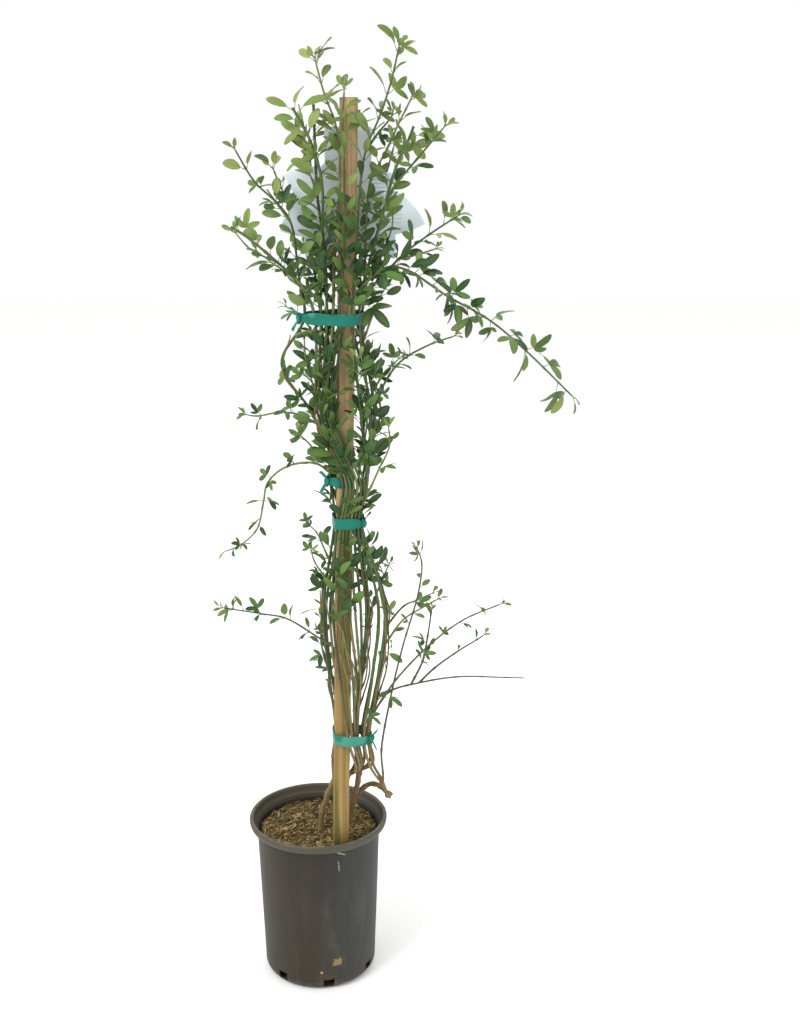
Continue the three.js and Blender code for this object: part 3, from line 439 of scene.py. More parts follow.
def shoot(parent, size, *points, **more):
    """A side shoot: the stem and height that it leaves, the size of its leaves, its points, and its bare share."""
    return dict(parent=parent, size=size, points=points, **more)


# A plant's canes take the lanes of their group one after another.
PLANTS = {
    "plant_right": dict(
        lanes="right",
        wood=[
            wood("trunk", (4.4, 3), [38, 12, 128], [38, 10, 200], [46, -3, 233], [51, -18, 270]),
            wood("arch", (3, 2.6), [38, 11, 196], [47, 2, 224], [60, -7, 242], [69, -16, 248], [78, -24, 246],
                 [85, -30, 241]),
        ],
        canes=[
            cane("tallest", (560, 1.0), [[84, -30, 242], [76, -40, 262]], [[50, -60, 835],
                 [54, -61, 890], [58, -60, 942], [64, -57, 977], [78, -54, 1010], [90, -52, 1045], [98, -50, 1080]]),
            cane("thick_cut_right", (600, 1.05), [[83, -29, 242], [77, -33, 262]], [[62, -54, 845],
                 [80, -58, 912], [94, -61, 959], [107, -64, 987], [112, -66, 1000]], cut=True),
            cane("right_spray", (560, 0.9), [[50, -16, 264]], [[68, -47, 835], [86, -46, 855],
                 [107, -42, 875], [136, -34, 895], [162, -30, 911]]),
            cane("upper_right", (500, 0.9), [[50, -16, 264]], [[61, -45, 845], [63, -48, 900],
                 [68, -48, 945], [84, -46, 975], [98, -40, 1004], [112, -33, 1031]]),
            cane("back_right", (520, 1.0), [[50, -16, 262]], [[54, -25, 850], [66, -14, 900],
                 [82, -4, 945], [93, 4, 982]]),
            cane("back_middle", (500, 1.0), [[46, -4, 234], [49, -12, 262]], [[36, -22, 860],
                 [42, -8, 915], [50, 2, 965], [55, 8, 1008]]),
        ],
        shoots=[
            shoot(("tallest", 975), 0.7, [76, -50, 993], [85, -45, 1003], [92, -43, 1012]),
            shoot(("thick_cut_right", 925), 0.95, [94, -64, 943], [110, -70, 962], [144, -85, 1002]),
            shoot(("right_spray", 866), 0.6, [116, -49, 871], [138, -51, 878]),
            shoot(("right_spray", 705), 0.75, [80, -38, 730], [98, -33, 755], [128, -26, 772], [159, -20, 782]),
            shoot(("tallest", 604), 0.7, [66, -60, 622], [76, -62, 645], [87, -63, 670], [86, -65, 694]),
            shoot(("arch", 241), 0.55, [78, -42, 262], [77, -47, 307], [89, -50, 380], [101, -55, 436],
                  [119, -62, 506], [122, -66, 540], [116, -70, 560], bare=0.72),
            shoot(("tallest", 345), 0.6, [76, -61, 372], [94, -68, 403], [129, -74, 445], [167, -82, 479],
                  [210, -93, 503], bare=0.5, name="low_spray"),
            shoot(("right_spray", 352), 0.6, [85, -37, 374], [120, -26, 381], [166, -15, 384], [217, -5, 379],
                  [246, 0, 376], bare=1, name="bare"),
            shoot(("bare", 381), 0.55, [138, -18, 396], [166, -14, 416], [187, -10, 428], [198, -8, 435], bare=0.5),
            shoot(("bare", 380), 0.6, [124, -36, 412], [129, -43, 442], [134, -50, 482], bare=0.3),
            shoot(("right_spray", 436), 0.7, [102, -46, 466], [124, -52, 483], [142, -58, 496]),
            shoot(("upper_right", 452), 0.7, [103, -28, 476], [119, -19, 480], [138, -10, 486]),
            shoot(("back_middle", 690), 0.8, [70, -16, 722], [86, 2, 742], [98, 20, 750]),
            shoot(("back_middle", 455), 0.7, [70, -18, 482], [80, 2, 502], [86, 20, 510]),
            shoot(("back_right", 765), 0.8, [66, -12, 795], [76, 12, 818], [82, 32, 826]),
        ],
    ),
    "plant_centre": dict(
        lanes="front",
        wood=[
            wood("trunk", (4.4, 3), [22, -2, 128], [22, -3, 200], [29, -10, 236], [38, -20, 262]),
        ],
        canes=[
            cane("left_bow", (690, 0.85), [[38, -19, 260]], [[-7, -55, 850], [-14, -61, 906],
                 [-27, -66, 925], [-48, -73, 946], [-68, -80, 981]], bow=(757, -32, 0, 62)),
            cane("left_cut", (470, 1.05), [[38, -19, 260]], [[-1, -64, 838], [-25, -74, 864],
                 [-58, -88, 894], [-71, -95, 903]], cut=True),
            cane("thick_cut_left", (560, 1.1), [[38, -19, 260]], [[17, -60, 870], [19, -63, 945],
                 [8, -65, 986], [-9, -68, 1018]], cut=True),
            cane("straight_cut", (480, 1.05), [[38, -19, 260]], [[21, -56, 870], [14, -55, 930],
                 [12, -52, 980], [11, -49, 1021]], cut=True),
            cane("across_stake", (600, 1.0), [[38, -19, 260]], [[31, -63, 880], [38, -62, 955],
                 [34, -61, 1000], [22, -59, 1033], [13, -56, 1067]]),
            cane("stake_top", (520, 0.95), [[38, -19, 260]], [[41, -69, 880], [42, -71, 957],
                 [41, -70, 1003], [43, -67, 1037]]),
            cane("long_arch", (640, 1.08), [[38, -19, 260]], [[46, -66, 823], [60, -70, 841],
                 [84, -69, 860], [104, -69, 858], [146, -74, 832], [190, -82, 808], [224, -90, 781],
                 [278, -100, 730]], simple=0.12),
        ],
        shoots=[
            shoot(("left_bow", 905), 0.9, [-25, -62, 921], [-37, -62, 938], cut=True),
            shoot(("left_bow", 650), 0.8, [8, -61, 664], [1, -66, 674], [-9, -71, 685]),
            shoot(("left_bow", 500), 0.5, [17, -63, 520], [5, -66, 541], [1, -71, 560], bare=0.5),
            shoot(("left_bow", 436), 0.75, [4, -66, 455], [-27, -76, 479], [-50, -87, 488], [-94, -110, 504],
                  bare=0.25),
        ],
    ),
    "plant_left": dict(
        lanes="left",
        wood=[
            wood("trunk", (4, 2.8), [4, -8, 128], [4, -8, 200], [12, -14, 232], [21, -22, 258]),
        ],
        canes=[
            cane("back_left", (500, 1.0), [[20, -21, 256]], [[8, -31, 850], [-8, -20, 898],
                 [-26, -11, 935], [-36, -6, 958]]),
            cane("back_high", (560, 1.0), [[20, -21, 256]], [[18, -29, 855], [12, -14, 912],
                 [4, -2, 962], [2, 4, 992]]),
            cane("back_short", (520, 1.0), [[20, -21, 256]], [[29, -28, 850], [30, -10, 900],
                 [24, 8, 934]], cut=True),
        ],
        shoots=[
            shoot(("back_left", 684), 0.8, [5, -42, 692], [-8, -37, 698], [-31, -31, 700], [-58, -23, 694],
                  [-72, -19, 695], bare=0.15),
            shoot(("back_left", 636), 0.65, [8, -45, 646], [-12, -43, 646], [-32, -41, 638], [-47, -39, 622],
                  [-52, -37, 600], [-60, -35, 569], [-80, -32, 549], [-100, -30, 540]),
            shoot(("back_short", 680), 0.8, [14, -18, 710], [0, 2, 728], [-12, 18, 736]),
            shoot(("back_short", 515), 0.7, [14, -22, 540], [4, -6, 556], [-8, 10, 562]),
            shoot(("back_high", 752), 0.8, [6, -18, 782], [-12, 2, 802], [-28, 18, 808]),
        ],
    ),
}
print(sum(len(plant["shoots"]) for plant in PLANTS.values()), "side shoots")

# %% [markdown]
# ## Smooth routes
# A stem is a smooth line through its points. The line is a centripetal Catmull-Rom spline, which never loops between
# close points. Leaves are placed by its coarse steps, which the solids share, and drawn on its fine line.

# %% Routes
class Route:
    """A smooth line through points. The parameter u counts the spans between them."""

    def __init__(self, points, step):
        self.points = np.array(points, float)
        self.u = self.steps(step)
        self.samples = self.at(self.u)
        self.lengths = self.measured(self.samples)
        self.length = self.lengths[-1]

    def steps(self, step):
        """Parameters that cut each span into even parts of about one step."""
        gaps = np.linalg.norm(np.diff(self.points, axis=0), axis=1)
        counts = np.maximum(1, np.ceil(gaps / step)).astype(int)
        return np.concatenate([[0.0], *(span + np.arange(1, n + 1) / n for span, n in enumerate(counts))])

    @staticmethod
    def measured(samples):
        return np.concatenate([[0], np.cumsum(np.linalg.norm(np.diff(samples, axis=0), axis=1))])

    def at(self, u):
        """Places at the parameters u: in each span a cubic with the tangents of a centripetal spline."""
        p = self.points
        p = np.vstack([2 * p[0] - p[1], p, 2 * p[-1] - p[-2]])
        u = np.atleast_1d(np.asarray(u, float))
        span = np.minimum(u.astype(int), len(p) - 4)
        w = (u - span)[:, None]
        a, b, c, d = (p[span + k] for k in range(4))
        dt0, dt1, dt2 = (np.linalg.norm(y - x, axis=1, keepdims=True) ** 0.5 for x, y in ((a, b), (b, c), (c, d)))
        t1 = ((b - a) / dt0 - (c - a) / (dt0 + dt1) + (c - b) / dt1) * dt1
        t2 = ((c - b) / dt1 - (d - b) / (dt1 + dt2) + (d - c) / dt2) * dt1
        return b + t1 * w + (3 * (c - b) - 2 * t1 - t2) * w ** 2 + (2 * (b - c) + t1 + t2) * w ** 3

    def along(self, distance):
        """Place, direction and parameter at a distance along the coarse steps."""
        d = min(max(distance, 0), self.length)
        i = min(max(int(np.searchsorted(self.lengths, d)), 1), len(self.lengths) - 1)
        t = (d - self.lengths[i - 1]) / (self.lengths[i] - self.lengths[i - 1])
        ends, u = self.samples[i - 1:i + 1], self.u[i - 1:i + 1]
        return between(ends, t), unit(ends[1] - ends[0]), between(u, t)

    def distance_at_height(self, z):
        low, high = self.samples[:-1, 2], self.samples[1:, 2]
        hit = np.flatnonzero((low <= z) & (high >= z))
        if len(hit) == 0:
            return self.length
        i = hit[0]
        return self.lengths[i] + (z - low[i]) / ((high[i] - low[i]) or 1) * (self.lengths[i + 1] - self.lengths[i])


def stake_x(z):
    return STAKE["foot_x"] + STAKE["lean"] * z


def cane_route(cane, group, index):
    """The foot's points, at each height the cane's place on its group's arc, and the points of its top. A bow pushes
    the places near one height aside."""
    count, arcs = LANES[group]
    t = index / (count - 1)
    places = []
    for z, *thirds in arcs:
        first, middle, last = map(np.array, thirds)
        across = (1 - t) ** 2 * first + 2 * t * (1 - t) * middle + t * t * last
        places.append(np.array([stake_x(z) + across[0], STAKE["y"] + across[1], z]))
    if "bow" in cane:
        z, right, back, reach = cane["bow"]
        share = (z - places[-2][2]) / (places[-1][2] - places[-2][2])
        places.insert(-1, places[-2] * (1 - share) + places[-1] * share)
        for place in places:
            u = min(max((place[2] - z) / reach, -1), 1)
            place += np.array([right, back, 0]) * (1 - u * u) ** 2
    return Route([*cane["foot"], *places, *cane["top"]], CANE_STEP)


LEAF = dict(length=21, sizes=(0.72, 1.14), arch=0.24, lift=0.3, pair_spacing=30, crown_spacing=23, cane_spacing=47,
            uneven=(0.85, 1.15), crown_from=815, simple=0.66, spare_below=0.86, tries=7, try_turn=0.75)
SHOOT_LEAVES = dict(first=16, simple=0.45)


def grow_plant(plant):
    """Every stem of a plant: its route, its radii, and where its leaves begin."""
    stems = {w["name"]: dict(kind="wood", route=Route(w["points"], SHOOT_STEP), radii=w["radius"])
             for w in plant["wood"]}
    for index, cane in enumerate(plant["canes"]):
        route = cane_route(cane, plant["lanes"], index)
        height, size = cane["leaves"]
        low, top, first, crown = (route.distance_at_height(z) for z in (TIES["tie_low"][0], TIES["tie_top"][0], height,
                                                                        LEAF["crown_from"]))
        radii = [CANE_RADIUS[k] for k in ("foot", "tie", "top", "top" if cane.get("cut") else "tip")]
        stems[cane["name"]] = dict(
            kind="cane", route=route, at=[0, low, top, route.length], radii=radii, first=first, size=size, crown=crown,
            cut=cane.get("cut", False), simple=cane.get("simple", LEAF["simple"]), group=plant["lanes"])
    for number, shoot in enumerate(plant["shoots"]):
        name, height = shoot["parent"]
        parent = stems[name]["route"]
        root = parent.along(parent.distance_at_height(height))[0]
        route = Route([root, *shoot["points"]], SHOOT_STEP)
        bare = shoot.get("bare", 0)
        stems[shoot.get("name", f"shoot{number}")] = dict(
            kind="shoot", route=route, radii=SHOOT_RADII, first=max(SHOOT_LEAVES["first"], bare * route.length),
            size=shoot["size"], cut=shoot.get("cut", False), simple=SHOOT_LEAVES["simple"], bare=bare)
    return stems


all_stems = [dict(stem, owner=owner, name=name)
             for owner, plant in PLANTS.items() for name, stem in grow_plant(plant).items()]
print(len(all_stems), "stems,", round(sum(s["route"].length for s in all_stems) / 1000, 1), "metres in all")

# %% [markdown]
# ## Leaves by rule
# Winter jasmine bears its leaves in opposite pairs, each pair turned a quarter from the last, and each leaf is a stalk
# with three leaflets or with one. A leaf takes its place only where it has room, which balls along its leaflets test.

# %% Room for a leaf
TAIL = dict(length=15, width=6.5, sag=2.4, lifts=[[62, 24], [-48, -18]])
STALK = 0.42
SIDE_BEARING = math.radians(62)
ROOM = dict(stake=0.6, tag=1, stem=1.9, leaf=0.4, bundle=64, tape=(TAPE["width"] + TAIL["length"]) / 2)
TAG_BACK = STAKE["side"] / 2 + GAP + TAG["thickness"] / 2
TIE_HEIGHTS = np.array([z for z, *_ in TIES.values()])

# Balls along a leaflet: across, along and radius in leaf lengths.
end_balls = [[0, 0.3, 0.06], [0, 0.62, 0.19], [0, 0.95, 0.22], [0, 1.25, 0.16], [0, 1.5, 0.06]]
side_balls = [[side * reach * math.sin(SIDE_BEARING), STALK + reach * math.cos(SIDE_BEARING), r]
              for side in (-1, 1) for reach, r in ((0.3, 0.17), (0.52, 0.18), (0.76, 0.07))]
END_BALLS, ALL_BALLS = np.array(end_balls), np.array(end_balls + side_balls)


def balls_of(leaf):
    """The leaf's balls in place. A leaf droops with the square of its reach past the stalk."""
    x, y, r = (END_BALLS if leaf["single"] else ALL_BALLS).T
    dome = -LEAF["arch"] * (x * x + np.maximum(0, y - STALK) ** 2) + LEAF["lift"] * np.minimum(y, STALK) ** 2
    scale = LEAF["length"] * leaf["size"]
    reach = np.stack([x, y, dome], 1) @ np.stack([leaf["across"], leaf["axis"], leaf["normal"]])
    return leaf["root"] + reach * scale, r * scale


def off_stake(place):
    """How far right of the stake's axis and behind it a place lies."""
    return place[..., 0] - stake_x(place[..., 2]), place[..., 1] - STAKE["y"]


def outward_at(place):
    return unit([*off_stake(place), 0])


def hits_fixed(places, beside, above, tag_room, under_tag=0):
    """Which places lie closer than the given rooms to the stake's sides, the stake's top or the tag."""
    z = places[:, 2]
    across, back = spun(*off_stake(places), -STAKE["turn"])
    half = STAKE["side"] / 2 + beside
    at_stake = (np.abs(across) < half) & (np.abs(back) < half) & (z < STAKE["top"] + above)
    near_tag = np.hypot(places[:, 0] - TAG["x"], z - TAG["z"]) < TAG["widest"]
    near_tag |= (np.abs(across) < TAG["tongue_width"]) & (z > TAG["tongue_foot"] - under_tag) & (z < TAG["z"])
    return at_stake | near_tag & (np.abs(back - TAG_BACK) < tag_room)


def all_segments():
    """Start, end and stem number of every coarse step of every stem."""
    samples = [s["route"].samples for s in all_stems]
    starts, ends = (np.concatenate([s[cut] for s in samples]) for cut in (slice(None, -1), slice(1, None)))
    return starts, ends, np.concatenate([np.full(len(s) - 1, i) for i, s in enumerate(samples)])


def balls_are_free(places, radii, own, thin, tape_room):
    """True if all balls keep clear of the stake, the tag, the ties, the soil and every stem but their own. A leaf is
    flat, so a share thin of each ball's radius can be enough room beside a stem."""
    z = places[:, 2]
    blocked = hits_fixed(places, radii + ROOM["stake"], radii, radii + ROOM["tag"]) | (z < POT["height"] + radii)
    beyond = np.abs(z[:, None] - TIE_HEIGHTS) - tape_room
    blocked |= (beyond < radii[:, None]).any(1) & (np.hypot(*off_stake(places)) < ROOM["bundle"])
    if blocked.any():
        return False
    starts, ends, owners = segments
    a, ab = starts[owners != own], (ends - starts)[owners != own]
    t = np.clip(((places[:, None] - a) * ab).sum(-1) / (ab * ab).sum(-1), 0, 1)
    gap = np.linalg.norm(places[:, None] - a - ab * t[..., None], axis=-1)
    return not (gap < (radii[:, None] + ROOM["stem"]) * thin).any()


segments = all_segments()
print(len(segments[0]), "steps of stem to keep clear of")

# %% [markdown]
# ## Which way a leaf looks
# A leaf leans from its stem towards the tip and lifts a little. Its face turns up, outwards and to the light, and
# draws spread it, since no two leaves look the same way. The large leaves that stand out are listed first.

# %% Leaves by the rule of the solids
UP = np.array([0.0, 0.0, 1.0])
TOWARDS_LIGHT = np.array([0.1, -0.34, 0])
FACE = dict(up=0.55, out=0.35, spread=0.8)
STAND = dict(off=0.84, tip=0.5, up=(0.12, 0.42))

# Stem, height of the root, the way it points, size, and whether it is single.
LARGE_LEAVES = [
    ("right_spray", 819, (0.62, -0.55, -0.5), 1.3, False), ("thick_cut_left", 1012, (0.75, -0.3, 0.55), 1.25, True),
    ("thick_cut_right", 989, (0.95, -0.25, 0.15), 1.1, True), ("back_left", 479, (-0.93, -0.35, 0.05), 0.85, True),
    ("back_left", 423, (-0.93, -0.3, -0.2), 0.75, False), ("tallest", 352, (0.7, -0.45, 0.55), 0.85, False),
    ("low_spray", 380, (0.9, -0.3, -0.25), 0.8, False), ("right_spray", 428, (0.85, -0.4, -0.3), 0.8, True),
]


def leaf_toward(stem, root, axis, size, single, serial, u):
    """A leaf that points along an axis, its face turned up, outwards and a little to the light."""
    face = UP * FACE["up"] + outward_at(root) * FACE["out"] + TOWARDS_LIGHT
    face = face + (np.array([draw(serial, salt) for salt in (2, 3, 4)]) - 0.5) * FACE["spread"]
    normal = unit(face - axis * (face @ axis))
    return dict(root=root, axis=axis, normal=normal, across=np.cross(axis, normal), size=size, serial=serial, u=u,
                single=single, stem=stem)


def leaf_on(stem, distance, turn, size, serial, simple, lean=STAND["tip"]):
    """A leaf that stands off its stem at a turn round it, and leans to the stem's tip."""
    place, direction, u = stem["route"].along(distance)
    flat = np.cross(UP, direction)
    side = unit(flat) if flat @ flat > 0.01 else np.array([1.0, 0, 0])
    axis = side * math.cos(turn) + np.cross(direction, side) * math.sin(turn)
    axis = unit(axis * STAND["off"] + direction * lean + UP * between(STAND["up"], draw(serial, 1)))
    return leaf_toward(stem, place, axis, size, draw(serial, 7) < simple, serial, u)


class Crowd:
    """The leaves placed so far, with the balls that they take up."""

    def __init__(self):
        self.leaves, self.places, self.radii = [], np.empty((0, 3)), np.empty(0)

    def keep(self, leaf, places, radii, share):
        self.leaves.append(dict(leaf, along=share))
        self.places = np.vstack([self.places, places])
        self.radii = np.append(self.radii, radii)

    def offer(self, leaf, number, share, near=1.0, thin=1.0, tape_room=ROOM["tape"]):
        """Keeps the leaf if its balls, shrunk by the factor near, touch no other leaf, and it has room elsewhere."""
        places, radii = balls_of(leaf)
        apart = np.linalg.norm(places[:, None] - self.places, axis=-1)
        if (apart <= (radii[:, None] + self.radii + ROOM["leaf"]) * near).any():
            return False
        if not balls_are_free(places, radii, number, thin, tape_room):
            return False
        self.keep(leaf, places, radii, share)
        return True


def leafy_stems():
    return [(number, stem, stem["route"].length) for number, stem in enumerate(all_stems)
            if stem["kind"] != "wood" and stem["first"] < stem["route"].length]


def grow_leaves():
    """The leaves of the rule that the solids follow too: the large ones, then opposite pairs on every stem."""
    crowd = Crowd()
    for k, (name, z, axis, size, single) in enumerate(LARGE_LEAVES):
        stem = next(s for s in all_stems if s["name"] == name)
        distance = stem["route"].distance_at_height(z)
        root, _, u = stem["route"].along(distance)
        leaf = leaf_toward(stem, root, unit(axis), size, single, k, u)
        crowd.keep(leaf, *balls_of(leaf), distance / stem["route"].length)
    serial = len(LARGE_LEAVES)
    for number, stem, length in leafy_stems():
        pair, d = 0, stem["first"]
        while d < length - (8 if stem["cut"] else 2):
            for half in (0, 1):
                serial += 1
                size = stem["size"] * between(LEAF["sizes"], draw(serial, 5))
                for k in range(LEAF["tries"]):
                    turn = math.pi * half + math.pi / 2 * pair + number + k * LEAF["try_turn"]
                    leaf = leaf_on(stem, d, turn, size, serial, stem["simple"])
                    leaf["spare"] = (pair + half) % 2 == 1 or size < LEAF["spare_below"] * stem["size"]
                    if crowd.offer(leaf, number, d / length):
                        break
            pair += 1
            on_cane = LEAF["crown_spacing"] if d > stem.get("crown", 0) else LEAF["cane_spacing"]
            spacing = LEAF["pair_spacing"] if stem["kind"] == "shoot" else on_cane
            d += spacing * between(LEAF["uneven"], draw(serial, 6))
    return crowd


crowd = grow_leaves()
print(len(crowd.leaves), "leaves by the rule of the solids")

# %% [markdown]
# ## Loose side stems and close leaves
# Between the ties many thin side stems rise beside the canes, held in by the bundle. They follow their cane and
# stand off it by a few millimetres. Some are green and leafy, others are last year's, dry and tan. Then the gaps
# between the pairs are filled: more leaves at the same nodes, and a tuft of small young ones at each growing tip.

# %% Loose side stems
LOOSE = dict(count=74, length=(70, 170), crown_length=(60, 110), stand_off=(3.0, 8.5), crown_flare=2.2,
             radii=(0.95, 0.6), past_tie=26, leafless=22, step=5, points_at=(0.0, 0.22, 0.45, 0.7, 1.0), out=0.8,
             aside=0.7, swing=1.5, swing_step=1.7, leaf_sizes=(0.62, 0.87))
DRY = dict(below=560, low_share=0.62, high_share=0.3)
LOOSE_ROOM = dict(beside=1.6, above=2, tag_room=2.2, under_tag=4)
OFF_TAPE, OFF_LEAF = 12, 0.5
# The heights between which the stems start, and the share of the stems that starts there.
SPANS = [(262, 312, 0.06), (336, 560, 0.5), (640, 780, 0.3), (822, 930, 0.14)]


def loose_stem(k):
    """A thin stem beside a cane: the cane's line plus a stand-off that opens with the root of the share run."""
    pick, shares = draw(k, 51), np.cumsum([share for *_, share in SPANS])
    bottom, top, _ = SPANS[int(np.searchsorted(shares, pick, side="right"))]
    start = bottom + (top - bottom) * draw(k, 52) ** 1.3
    in_crown = start > LEAF["crown_from"]
    canes = [s for s in all_stems if s["kind"] == "cane"]
    cane = canes[int(draw(k, 53) * len(canes))]
    route = cane["route"]
    reach = min(between(LOOSE["length"], draw(k, 54)), top + LOOSE["past_tie"] - start)
    if in_crown:
        reach = between(LOOSE["crown_length"], draw(k, 54))
    root = route.distance_at_height(start)
    turn = 2 * math.pi * draw(k, 55)
    points = []
    for step, share in enumerate(LOOSE["points_at"]):
        place = route.along(root + reach * share)[0]
        swing = turn + LOOSE["swing"] * math.sin(step * LOOSE["swing_step"] + turn)
        stand = between(LOOSE["stand_off"], draw(k, 56)) * share ** 0.5 * (LOOSE["crown_flare"] if in_crown else 1)
        aside = np.array([math.cos(swing), math.sin(swing), 0])
        points.append(place + (outward_at(place) * LOOSE["out"] + aside * LOOSE["aside"]) * stand)
    return Route(points, SHOOT_STEP), start, cane["owner"]


def is_clear(line):
    """True if the line keeps its room to the stake, the tag and every tape, and past its root to every leaf."""
    if hits_fixed(line, **LOOSE_ROOM).any() or not (np.abs(line[:, 2:] - TIE_HEIGHTS) > OFF_TAPE).all():
        return False
    to_leaves = np.linalg.norm(line[3:, None] - crowd.places, axis=-1) - crowd.radii * 0.5
    return len(line) > 4 and not (to_leaves < OFF_LEAF).any()


grown = len(all_stems)
for k in range(LOOSE["count"]):
    route, start, owner = loose_stem(k)
    if is_clear(route.at(route.steps(LOOSE["step"]))):
        dry = draw(k, 57) < (DRY["low_share"] if start < DRY["below"] else DRY["high_share"])
        all_stems.append(dict(kind="shoot", route=route, radii=LOOSE["radii"], cut=dry, dry=dry, loose=True, bare=0,
                              first=route.length if dry else LOOSE["leafless"],
                              size=between(LOOSE["leaf_sizes"], draw(k, 58)), owner=owner, name=f"loose{k}"))
print(len(all_stems) - grown, "loose side stems")

# %% Close leaves
FILL = dict(first_serial=5000, start=9, spacing=20, crown_spacing=14, uneven=(0.8, 1.2), sizes=(0.6, 0.96),
            lean=(0.35, 0.75), crown_top=918, reach=44, sparse=0.12, far=0.2, fan=2.1, spread=6.28, tries=9,
            try_turn=0.7, single=0.78)
TUFT = dict(leaves=4, sizes=(0.42, 0.64), below_tip=1.5, apart=2.2, lean=0.95)
FILL_ROOM = dict(near=0.72, thin=0.6, tape_room=TAPE["width"] / 2 + 2.5)
TUFT_ROOM = dict(FILL_ROOM, near=0.35, thin=0.5)
ARCH_FILL = dict(share=0.45, size=1.3, single=0.35)
SHEDDING = dict(below=500, size=0.72, kept=0.3)
BOX_MARGIN = np.array([5.0, 4.0, 5.0])
LOW_CORNER, HIGH_CORNER = (corner + sign * BOX_MARGIN for corner, sign in zip(np.array(cad_box) / MM, (-1, 1)))


def is_inside(leaf):
    """True if the leaf stays in the box of the solids, give or take a few millimetres."""
    places, radii = balls_of(leaf)
    return bool((places - radii[:, None] > LOW_CORNER).all() and (places + radii[:, None] < HIGH_CORNER).all())


def is_shed(leaf):
    """The low side shoots and the bent cut cane have shed most of the leaves that the solids leave off too."""
    stem = leaf["stem"]
    shedding = stem["name"] == "left_cut" and leaf["root"][2] > LEAF["crown_from"]
    low = stem["kind"] == "shoot" and stem["route"].points[0][2] < SHEDDING["below"]
    shedding |= low and stem["size"] < SHEDDING["size"]
    return bool(shedding and leaf.get("spare") and draw(leaf["serial"], 15) > SHEDDING["kept"])


def fill_share(stem, place):
    """The share of the places for close leaves that is used: all near the stake, few at the tips and on shoots."""
    if stem["name"] == "long_arch" and place[2] > LEAF["crown_from"]:
        return ARCH_FILL["share"]
    if place[2] > FILL["crown_top"] or (stem["kind"] == "shoot" and not stem.get("loose")):
        return FILL["sparse"]
    return 1.0 if math.hypot(*off_stake(place)) < FILL["reach"] else FILL["far"]


def fill_leaves(crowd):
    """Close leaves between the pairs of every stem, and a tuft at each tip that isn't cut."""
    serial = FILL["first_serial"]
    for number, stem, length in leafy_stems():
        d = stem["first"] + (0 if stem.get("loose") else FILL["start"])
        while d < length - 3:
            place = stem["route"].along(d)[0]
            crown = place[2] > LEAF["crown_from"]
            arching = stem["name"] == "long_arch" and crown
            larger, single = (ARCH_FILL["size"], ARCH_FILL["single"]) if arching else (1, FILL["single"])
            for half in range(3 if crown else 2):
                serial += 1
                if draw(serial, 14) > fill_share(stem, place):
                    continue
                size = stem["size"] * between(FILL["sizes"], draw(serial, 5)) * larger
                for k in range(FILL["tries"]):
                    turn = FILL["fan"] * half + FILL["spread"] * draw(serial, 12) + k * FILL["try_turn"]
                    leaf = leaf_on(stem, d, turn, size, serial, single, between(FILL["lean"], draw(serial, 13)))
                    if is_inside(leaf) and crowd.offer(leaf, number, d / length, **FILL_ROOM):
                        break
            d += (FILL["crown_spacing"] if crown else FILL["spacing"]) * between(FILL["uneven"], draw(serial, 6))
        for k in range(0 if stem["cut"] else TUFT["leaves"]):
            serial += 1
            size = stem["size"] * between(TUFT["sizes"], draw(serial, 5))
            d = length - TUFT["below_tip"] - TUFT["apart"] * (k % 2)
            leaf = leaf_on(stem, d, math.pi / 2 * k + number, size, serial, 1, TUFT["lean"])
            if is_inside(leaf):
                crowd.offer(leaf, number, 1.0, **TUFT_ROOM)
    return [leaf for leaf in crowd.leaves if is_inside(leaf) and not is_shed(leaf)]


segments = all_segments()
leaves = fill_leaves(crowd)
print(len(leaves), "leaves in all")

# %% [markdown]
# ## Stems
# A jasmine stem is green and square in section, with a faint ridge at each corner and a swelling where each pair of
# leaves stood. At its foot it turns to tan bark. A rounded square is carried along each route, and its radius swells
# at the nodes.

# %% Stems
STEM_SHAPE = dict(
    wood=dict(columns=12, squareness=0.02, swelling=3.2, pitch=30, wobble=0.09),
    cane=dict(columns=12, squareness=0.13, swelling=1.7, pitch=41, wobble=0),
    shoot=dict(columns=8, squareness=0.13, swelling=1.7, pitch=30, wobble=0),
)
RING_SPACING, LOOSE_RING_SPACING, LOOSE_COLUMNS = 3.6, 5.0, 6
TIP_TAPER = 5
NODE_SWELLING = 0.34
BARK = dict(top=440, fade=190, on_shoots=0.55)
TWIG = dict(below=480, grey=0.75)


